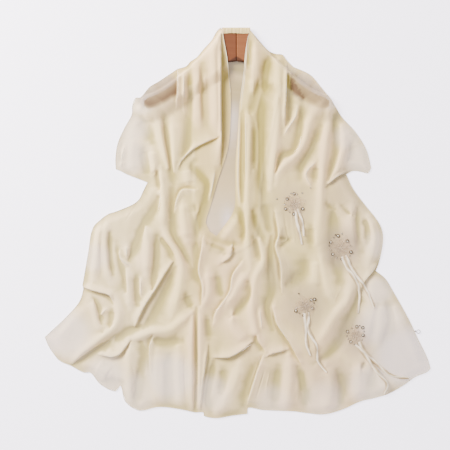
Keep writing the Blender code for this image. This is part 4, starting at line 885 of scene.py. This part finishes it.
def over(x, y, radius=0.0):
    best = 0.0
    spots = [(0, 0)] + [(radius * math.cos(a), radius * math.sin(a)) for a in np.arange(8) * math.pi / 4]
    for dx, dy in spots if radius else spots[:1]:
        hit = shawlTree.ray_cast(Vector((x + dx, y + dy, 1)), Vector((0, 0, -1)))[0]
        if hit and hit.z > best:
            best = hit.z
    return best


# Rolled hems, the lines of lower layers, and thin bright tubes along the edges of folds: painted highlights
# where the edges catch the light
hemLook = {
    "radius": 0.75 * mm, "lift": 0.1 * mm, "step": 4 * mm, "innerRadius": 0.45 * mm,
    "rimRadius": 0.95 * mm, "rimStep": 3 * mm, "rimInset": 1.6 * mm, "rimSink": 0.35, "rimLift": 0.2 * mm,
    "rimLeast": 0.5,
}
innerLines = [
    [(-26.4, 17.5), (-27, 15.5), (-27, 13)], [(-36, -15.3), (-33.5, -16.1), (-30, -17.1), (-29, -18.7)],
    [(-28.6, -26.4), (-30, -27.6), (-33, -29.3), (-36, -31.2), (-38.8, -33)],
    [(-1.2, -4.9), (-1.2, -6.9), (-1.9, -8.2), (-3.6, -9.2)],
    [(-5, -31.8), (-3.5, -31.9), (-2, -31.6), (-0.5, -30.4), (1, -29.9), (3.5, -27.6)],
    [(5.3, -31.5), (4.1, -36), (2.4, -41.4)], [(2.4, -41.6), (3.6, -41.8), (5, -42.2)],
    [(7.2, -31.2), (8.5, -30.7), (10, -30.3), (11.5, -29.8)], [(2.4, 42), (2.9, 38), (3, 36)],
    [(-3.8, 44), (-3.8, 36), (-3.8, 27), (-3.7, 20), (-3.9, 14)],
    [(25.4, 11.4), (23.5, 10.5), (21.2, 8.8)], [(32.2, -11.4), (30.2, -13.4), (28.8, -15.7)],
]


def addTube(title, paths, radius, taper=False):
    bpy.ops.curve.primitive_nurbs_path_add()
    obj = bpy.context.object
    obj.name = title
    obj.data.splines.clear()
    for path in paths:
        spline = obj.data.splines.new("POLY")
        spline.points.add(len(path) - 1)
        for i, (point, place) in enumerate(zip(spline.points, path)):
            point.co = (*place, 1)
            if taper:
                point.radius = 0.15 + 0.85 * abs(math.sin(math.pi * i / max(1, len(path) - 1))) ** 0.6
    obj.data.bevel_depth = radius
    obj.data.bevel_resolution = 1
    obj.data.use_fill_caps = True
    activate(obj)
    bpy.ops.object.convert(target="MESH")
    bpy.ops.object.transform_apply(location=True, rotation=True, scale=True)
    bpy.ops.object.shade_smooth()
    return bpy.context.object


def onCloth(row, lift):
    line = cmLine(row, hemLook["step"])
    return np.column_stack([line, clothTop(line)[0] + lift])


def sideways(line):
    # the unit vector to the left of travel at each point
    run = np.gradient(line, axis=0)
    run = run / np.linalg.norm(run, axis=1)[:, None]
    return np.stack([-run[:, 1], run[:, 0]], axis=1)


def rimPaths():
    # just on the high side of each edge line
    paths = []
    for kind, strength, points in folds:
        side = {"cliffLeft": -1, "cliffRight": 1, "thin": 0}.get(kind)
        if side is not None and strength >= hemLook["rimLeast"]:
            line = cmLine(points, hemLook["rimStep"])
            line = line + sideways(line) * side * hemLook["rimInset"]
            z = np.array([over(x, y) for x, y in line])
            paths.append(np.column_stack([line, z - hemLook["rimSink"] * hemLook["rimRadius"]]))
    return paths


hemPaths = [onCloth(row, hemLook["lift"]) for name, row in edgeRows.items() if not name.startswith("inner")]
innerRims = [onCloth(row, hemLook["rimLift"]) for row in (
    [(-3.6, 45), (-3.1, 42), (-2.4, 38), (-2, 34), (-1.6, 30.5)], edgeRows["innerRight"][:5])]
hem = addTube("rolled_hem", hemPaths, hemLook["radius"])
layerLines = addTube("layer_edges", [onCloth(row, 0.0) for row in innerLines], hemLook["innerRadius"])
# thin bright tubes on the fold edges: painted highlights
foldHighlights = addTube("fold_edge_highlights", rimPaths() + innerRims, hemLook["rimRadius"], taper=True)
for each, cloth in ((hem, hemCloth), (layerLines, hemCloth), (foldHighlights, edgeHighlightLook)):
    dress(each, cloth)
print("hems")


# The back of the shawl in the neck opening
back = {
    "cuts": 5, "level": 1.2 * mm, "wave": 0.6 * mm, "middle": -0.01, "waveHalf": 0.07,
    "rippleAt": 0.345, "rippleSpread": 0.03,
    "stripAt": -0.0105, "stripShift": -0.012, "stripWide": 6 * mm,
    "flatWidth": 0.2, "flatLength": 0.44,
}


def buildBack():
    obj = copyNodes(["back_panel"], "shawl_back")
    keepUpperFaces(obj)
    divideFaces(obj, back["cuts"])
    coords = getCoords(obj)
    x, y = coords[:, 0], coords[:, 1]
    low = smoothStep((0.10 - y) / 0.1)
    ripple = np.exp(-((y - back["rippleAt"]) / back["rippleSpread"]) ** 2)
    ripple *= np.sin(y * 520 + np.sin(x * 90))
    sag = np.sin(x * 260 + 1.5 * np.sin(y * 22)) * smoothStep((0.33 - y) / 0.03)
    sag *= 0.4 + 0.6 * smoothStep((0.16 - y) / 0.1)
    # down the middle a single layer lets the floor show
    strip = np.exp(-((x - back["stripAt"] - back["stripShift"] * low) / back["stripWide"]) ** 2)
    strip *= smoothStep((0.31 - y) / 0.06)
    shown = np.abs(x - back["middle"]) < back["waveHalf"]
    coords[:, 2] = back["level"] + back["wave"] * (ripple + 0.8 * sag) * shown
    setCoords(obj, coords)
    # painted shade: the back panel lies low between the fronts, so it gets a low depth and a dark brown
    # wash, both darker towards the top, with painted light on the ridges of its ripples
    addAttributes(obj, depth=-0.75 + 0.25 * smoothStep((0.3 - y) / 0.2) + 0.7 * ripple + 0.5 * sag,
                  relief=0.5 * (ripple + sag), sheer=0.1 + 0.3 * low + 0.7 * strip,
                  stain=0.38 - 0.08 * smoothStep((0.16 - y) / 0.14))
    bpy.ops.object.shade_smooth()
    dress(obj, chiffon, ["back_panel"])


buildBack()
for name in ("hanger_left", "hanger_right"):
    wear(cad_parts[name], wood)
print("back")


# The shawl's band over the hanger's top: (y mm, z mm) from under the wood, round its edge, to its front
roll = {
    "section": [(419, 0.9), (436, 0.9), (449, 0.9), (453.6, 2.2), (455.7, 5.2), (456.0, 8.6), (454.8, 12.8),
                (451.4, 15.4), (447.2, 16.1), (443.6, 16.0), (441.2, 15.6)],
    "left": -3.75 * cm, "right": 2.95 * cm, "steps": 60, "crease": 0.45 * mm, "fineStep": 1.2 * mm,
    "narrow": 0.15 * cm, "flatWidth": 0.06,
}


def buildRoll():
    section = softLine(np.array(roll["section"]) * mm, roll["fineStep"])
    steps = roll["steps"]
    obj = newGrid("neck_band", steps, len(section))
    coords, depth = [], []
    for y, z in section:
        front = smoothStep((z - 3 * mm) / (9 * mm))
        narrow = roll["narrow"] * front * smoothStep((y - 0.446) / 0.008)
        for i in range(steps):
            u = i / (steps - 1)
            x = roll["left"] + narrow + u * (roll["right"] - roll["left"] - 2 * narrow)
            wave = math.sin(x * 900 + 1.3 * math.sin(x * 310)) * math.sin(x * 173 + 0.6)
            lift = roll["crease"] * wave * front
            coords.append((x, y - 0.6 * mm * front * math.sin(x * 120) * (y < 0.445), z + lift))
            # painted shade and light: the crease waves set depth, darker in their troughs and lighter on
            # their ridges
            depth.append(0.5 * wave + 0.1 * front)
    setCoords(obj, coords)
    addAttributes(obj, depth=depth, sheer=np.full(len(depth), 0.1))
    bpy.ops.object.shade_smooth()
    dress(obj, chiffon, ["neck_roll"])


buildRoll()
print("neck band")


# The glued joint between the hanger's halves
joint = {"width": 1.4 * mm, "low": 2.6 * mm, "high": 11.8 * mm, "bottom": 37.9 * cm, "top": 44.6 * cm}
bpy.ops.mesh.primitive_cube_add(size=1, location=(hanger["centre"], (joint["bottom"] + joint["top"]) / 2,
                                                  (joint["low"] + joint["high"]) / 2))
glue = bpy.context.object
glue.name = "hanger_joint"
glue.scale = (joint["width"], joint["top"] - joint["bottom"], joint["high"] - joint["low"])
bpy.ops.object.transform_apply(location=True, rotation=True, scale=True)
dress(glue, wood)


# Ribbon tails: points in cm, from under the flower outwards
ribbonLook = {"wide": 1.0 * cm, "across": 5, "step": 3 * mm, "cup": 1.1 * mm, "lift": 0.9 * mm,
              "turn": 0.55, "taper": 0.38}
ribbons = {
    "ribbon_1a": [(13.5, 3), (13.8, 1), (14.3, -2), (15, -5)],
    "ribbon_1b": [(14.1, 3.4), (14.7, 1), (15.2, -1), (15.6, -3)],
    "ribbon_2a": [(25, -7.6), (26.5, -10.3), (29, -14), (30.7, -17), (31.9, -19.8)],
    "ribbon_2b": [(24.4, -7.8), (26, -11), (28, -14.5), (28.6, -17), (28, -21)],
    "ribbon_3a": [(15.6, -21), (15.8, -25), (16.3, -29), (17, -31)],
    "ribbon_3b": [(16.3, -20.8), (16.6, -25), (18.2, -28.3), (18.7, -32), (20.8, -34.8)],
    "ribbon_4a": [(28.2, -27.8), (30.5, -31), (35, -35), (37.5, -36), (40, -36.2)],
    "ribbon_4b": [(27.7, -28.2), (30, -31.3), (33.2, -35.5), (34.8, -37.5), (34.3, -40)],
}


def buildRibbon(name, points, order):
    line = cmLine(points, ribbonLook["step"])
    count, across, wide = len(line), ribbonLook["across"], ribbonLook["wide"]
    obj = newGrid(name + "_satin", across, count)
    normal = sideways(line)
    base = np.array([over(x, y, 0.35 * wide) for x, y in line])
    base = np.convolve(np.pad(base, 2, mode="edge"), np.ones(5) / 5, mode="valid")
    coords, shares = [], []
    for i in range(count):
        turn = abs(ribbonLook["turn"] * math.sin(i * 0.33 + order * 1.7))
        taper = 1 - ribbonLook["taper"] * (i / (count - 1)) ** 1.5
        full = wide * taper * (0.98 - 0.14 * abs(math.sin(i * 0.21 + order)))
        for j in range(across):
            u = j / (across - 1) - 0.5
            x, y = line[i] + normal[i] * u * full
            lift = ribbonLook["lift"] + ribbonLook["cup"] * (1 - 4 * u * u) + turn * 0.5 * full * (0.5 + u)
            coords.append((x, y, max(base[i], over(x, y)) + lift))
            # where each point lies across the ribbon for the painted sheen, shifted to and fro along it
            shares.append(0.5 + u + 0.34 * math.sin(i * 0.23 + order * 2.1))
    setCoords(obj, coords)
    addAttributes(obj, across=shares)
    bpy.ops.object.modifier_add(type="SUBSURF")
    obj.modifiers[-1].levels = 1
    obj.modifiers[-1].render_levels = 1
    bpy.ops.object.modifier_apply(modifier=obj.modifiers[-1].name)
    bpy.ops.object.shade_smooth()
    dress(obj, satin, [name])


for order, (name, points) in enumerate(ribbons.items()):
    buildRibbon(name, points, order)
print("ribbons")


# Flowers of organza, with their stones, beads and threads: places in cm
flowers = {
    "flower_1": {"at": (13.2, 4.4), "radius": 3.0, "turn": 0.3,
                 "stones": [(13.2, 6.8), (11.6, 5.6), (11.2, 3.3), (13.1, 2.1), (15.2, 3.3)],
                 "beads": [(9.2, 5.6), (15.1, 7), (17, 8.2), (14.6, 2.6), (12.5, 6.9), (12, 6.2), (11, 4.4),
                           (13.9, 6.7), (12.2, 2.6)]},
    "flower_2": {"at": (24.0, -5.7), "radius": 3.2, "turn": 1.1,
                 "stones": [(23.5, -3), (21.8, -4.5), (25.6, -4.2), (22.3, -7.3), (24.4, -8.4),
                            (26.5, -6.8)],
                 "beads": [(24.4, -2.5), (21.4, -5.3), (21.7, -6.2), (26.2, -7.6), (22.5, -3.4),
                           (22.9, -2.8), (23.2, -8.1), (26.3, -5.4)]},
    "flower_3": {"at": (15.7, -19.4), "radius": 3.0, "turn": 2.0,
                 "stones": [(18, -17.8), (17.5, -19.9), (15.5, -21.6), (13.6, -20.5), (17.2, -18)],
                 "beads": [(15.2, -18.7), (14.3, -16.5), (17.9, -18.7), (16.6, -20.8), (14.5, -21.1),
                           (13.8, -19.8)]},
    "flower_4": {"at": (27.4, -26.3), "radius": 2.8, "turn": 2.9,
                 "stones": [(27.8, -24.2), (29.2, -24.4), (25.7, -25.4), (26.4, -27.7), (28.3, -28.2),
                            (29.3, -26.2)],
                 "beads": [(26.7, -24.6), (25.6, -26.4), (28.5, -24), (25.9, -27.1), (27.3, -28.3),
                           (29, -27.3), (29.5, -25.3)]},
}
flowerLook = {
    "petals": 6, "rows": 9, "lift": 1.2 * mm, "wave": 1.1 * mm,
    "rings": ((1.0, 3.0 * mm), (0.62, 5.0 * mm)),  # (share of the size, how high the tips stand)
    "stoneRadius": 2.9 * mm, "beadRadius": 1.35 * mm, "stoneFlat": 0.62, "settingRadius": 0.42,
    "threads": 6, "threadSteps": 6, "threadRadius": 0.2 * mm, "threadArch": 2.5 * mm,
    "cutWidth": 0.045,
}


def addPetal(centre, angle, size, tilt):
    rows = flowerLook["rows"]
    obj = newGrid("petal", rows, rows)
    coords = []
    for i in range(rows):
        for j in range(rows):
            u = j / (rows - 1) - 0.5
            v = i / (rows - 1)
            wide = size * 0.95 * math.sin(math.pi * (0.12 + 0.76 * v)) ** 0.8
            out = v * size * (1 - 0.35 * (2 * u) ** 2 * v)
            x = centre[0] + math.cos(angle) * out - math.sin(angle) * u * wide
            y = centre[1] + math.sin(angle) * out + math.cos(angle) * u * wide
            wave = flowerLook["wave"] * math.sin(9 * u + 5 * v + angle) * v
            z = flowerLook["lift"] + tilt * v * (1 - 0.6 * v) + wave
            coords.append((x, y, z))
    base = max(over(centre[0], centre[1], size * 0.5), over(centre[0], centre[1]))
    coords = [(x, y, max(base * 0.6 + 0.4 * over(x, y), over(x, y)) + z) for x, y, z in coords]
    setCoords(obj, coords)
    return obj


def addStones(name, facts):
    stones, settings = [], []
    for key in ("stone", "bead"):
        radius = flowerLook[key + "Radius"]
        for i, (x, y) in enumerate(facts[key + "s"]):
            x, y = x * cm + offset.x, y * cm
            z = over(x, y, radius * 0.7) + radius * 0.45
            bpy.ops.mesh.primitive_ico_sphere_add(subdivisions=2, radius=radius, location=(x, y, z),
                                                  rotation=(0.1 * i, 0.2, i * 1.3))
            stones.append(bpy.context.object)
            stones[-1].scale = (1, 1, flowerLook["stoneFlat"])
            bpy.ops.mesh.primitive_torus_add(major_segments=16, minor_segments=6, major_radius=radius,
                                             minor_radius=radius * flowerLook["settingRadius"],
                                             location=(x, y, z))
            settings.append(bpy.context.object)
    pieces = []
    for parts, title, look in ((stones, "_stones", stoneLook), (settings, "_settings", settingLook)):
        pieces.append(joinAll(parts, name + title))
        dress(pieces[-1], look)
    return pieces


def addThreads(name, facts, centre, size):
    paths = []
    for i in range(flowerLook["threads"]):
        angle = facts["turn"] + i * 2 * math.pi / flowerLook["threads"]
        reach = size * (0.75 + 0.3 * math.sin(i * 2.4))
        path = []
        for t in np.linspace(0, 1, flowerLook["threadSteps"] + 1):
            bend = angle + 0.5 * t * math.sin(i * 1.9)
            x = centre[0] + math.cos(bend) * reach * t
            y = centre[1] + math.sin(bend) * reach * t
            arch = flowerLook["threadArch"] * math.sin(math.pi * t)
            path.append((x, y, over(x, y, 2 * mm) + 2.2 * mm + arch))
        paths.append(path)
    threads = addTube(name + "_threads", paths, flowerLook["threadRadius"])
    dress(threads, threadLook)
    return threads


def buildFlower(name, facts):
    centre = np.array(facts["at"]) * cm + [offset.x, 0]
    size = facts["radius"] * cm
    petals = []
    for ring, (share, tilt) in enumerate(flowerLook["rings"]):
        for i in range(flowerLook["petals"]):
            angle = facts["turn"] + (i + 0.5 * ring) * 2 * math.pi / flowerLook["petals"]
            petals.append(addPetal(centre, angle + 0.2 * math.sin(7 * i), size * share, tilt))
    flower = joinAll(petals, name + "_organza")
    bpy.ops.object.shade_smooth()
    dress(flower, organza, [name])
    pieces = addStones(name, facts) + [addThreads(name, facts, centre, size)]


for name, facts in flowers.items():
    buildFlower(name, facts)
print("flowers")


# The small loop and bead at the shawl's right edge
edgeBead = {"at": (42.0, -25.4), "loop": 4.2 * mm, "wire": 0.8 * mm, "loopAt": (3.0 * mm, 0.0, 1.9 * mm),
            "bead": 2.3 * mm, "beadAt": (-4.5 * mm, 1.0 * mm, 3.6 * mm)}
spot = Vector((*edgeBead["at"], 0)) * cm + offset
bpy.ops.mesh.primitive_torus_add(major_segments=24, minor_segments=6, major_radius=edgeBead["loop"],
                                 minor_radius=edgeBead["wire"], location=spot + Vector(edgeBead["loopAt"]))
loop = bpy.context.object
bpy.ops.mesh.primitive_ico_sphere_add(subdivisions=2, radius=edgeBead["bead"],
                                      location=spot + Vector(edgeBead["beadAt"]))
dress(joinAll([loop, bpy.context.object], "edge_bead"), loopMetal)
print("edge bead")


# Floor, light and camera
studio = {
    "floor": (0.84, 0.80, 0.90, 1), "floorRoughness": 0.85, "floorSize": 8, "floorDrop": 0.2 * mm,
    "glow": (0.93, 0.88, 1.0, 1), "glowStrength": 2.6,
    "world": (0.96, 0.93, 0.91, 1), "worldStrength": 0.95,
    "frameWidth": 1.053, "distance": 2.6, "middle": (-2.925 * cm + offset.x, -0.47 * cm), "sensor": 36,
}
lights = {  # (place, size, watts, colour)
    "key": ((-1.6, 1.2, 1.35), 1.2, 180, (1.0, 0.97, 0.93)),
    "fill": ((1.6, -1.0, 2.2), 2.0, 10, (0.93, 0.95, 1.0)),
}
bpy.ops.mesh.primitive_plane_add(size=studio["floorSize"], location=(0, 0, -studio["floorDrop"]))
floor = bpy.context.object
floor.name = "floor"
floorPaint = Paint("paleFloor", Roughness=studio["floorRoughness"], Base_Color=studio["floor"],
                   Emission_Color=studio["glow"], Emission_Strength=studio["glowStrength"])
floor.data.materials.append(floorPaint.mat)

for title, (place, size, power, colour) in lights.items():
    bpy.ops.object.light_add(type="AREA", location=place)
    light = bpy.context.object
    light.name = title
    light.data.shape = "DISK"
    light.data.size = size
    light.data.energy = power
    light.data.color = colour
    light.rotation_euler = (-Vector(place)).to_track_quat("-Z", "Y").to_euler()

world = bpy.data.worlds.new("softWorld")
world.use_nodes = True
world.node_tree.nodes["Background"].inputs["Color"].default_value = studio["world"]
world.node_tree.nodes["Background"].inputs["Strength"].default_value = studio["worldStrength"]
bpy.context.scene.world = world
bpy.ops.object.camera_add(location=(*studio["middle"], studio["distance"]), rotation=(0, 0, 0))
camera = bpy.context.object
camera.data.sensor_width = studio["sensor"]
camera.data.lens = studio["sensor"] * studio["distance"] / studio["frameWidth"]
bpy.context.scene.camera = camera
print("studio")
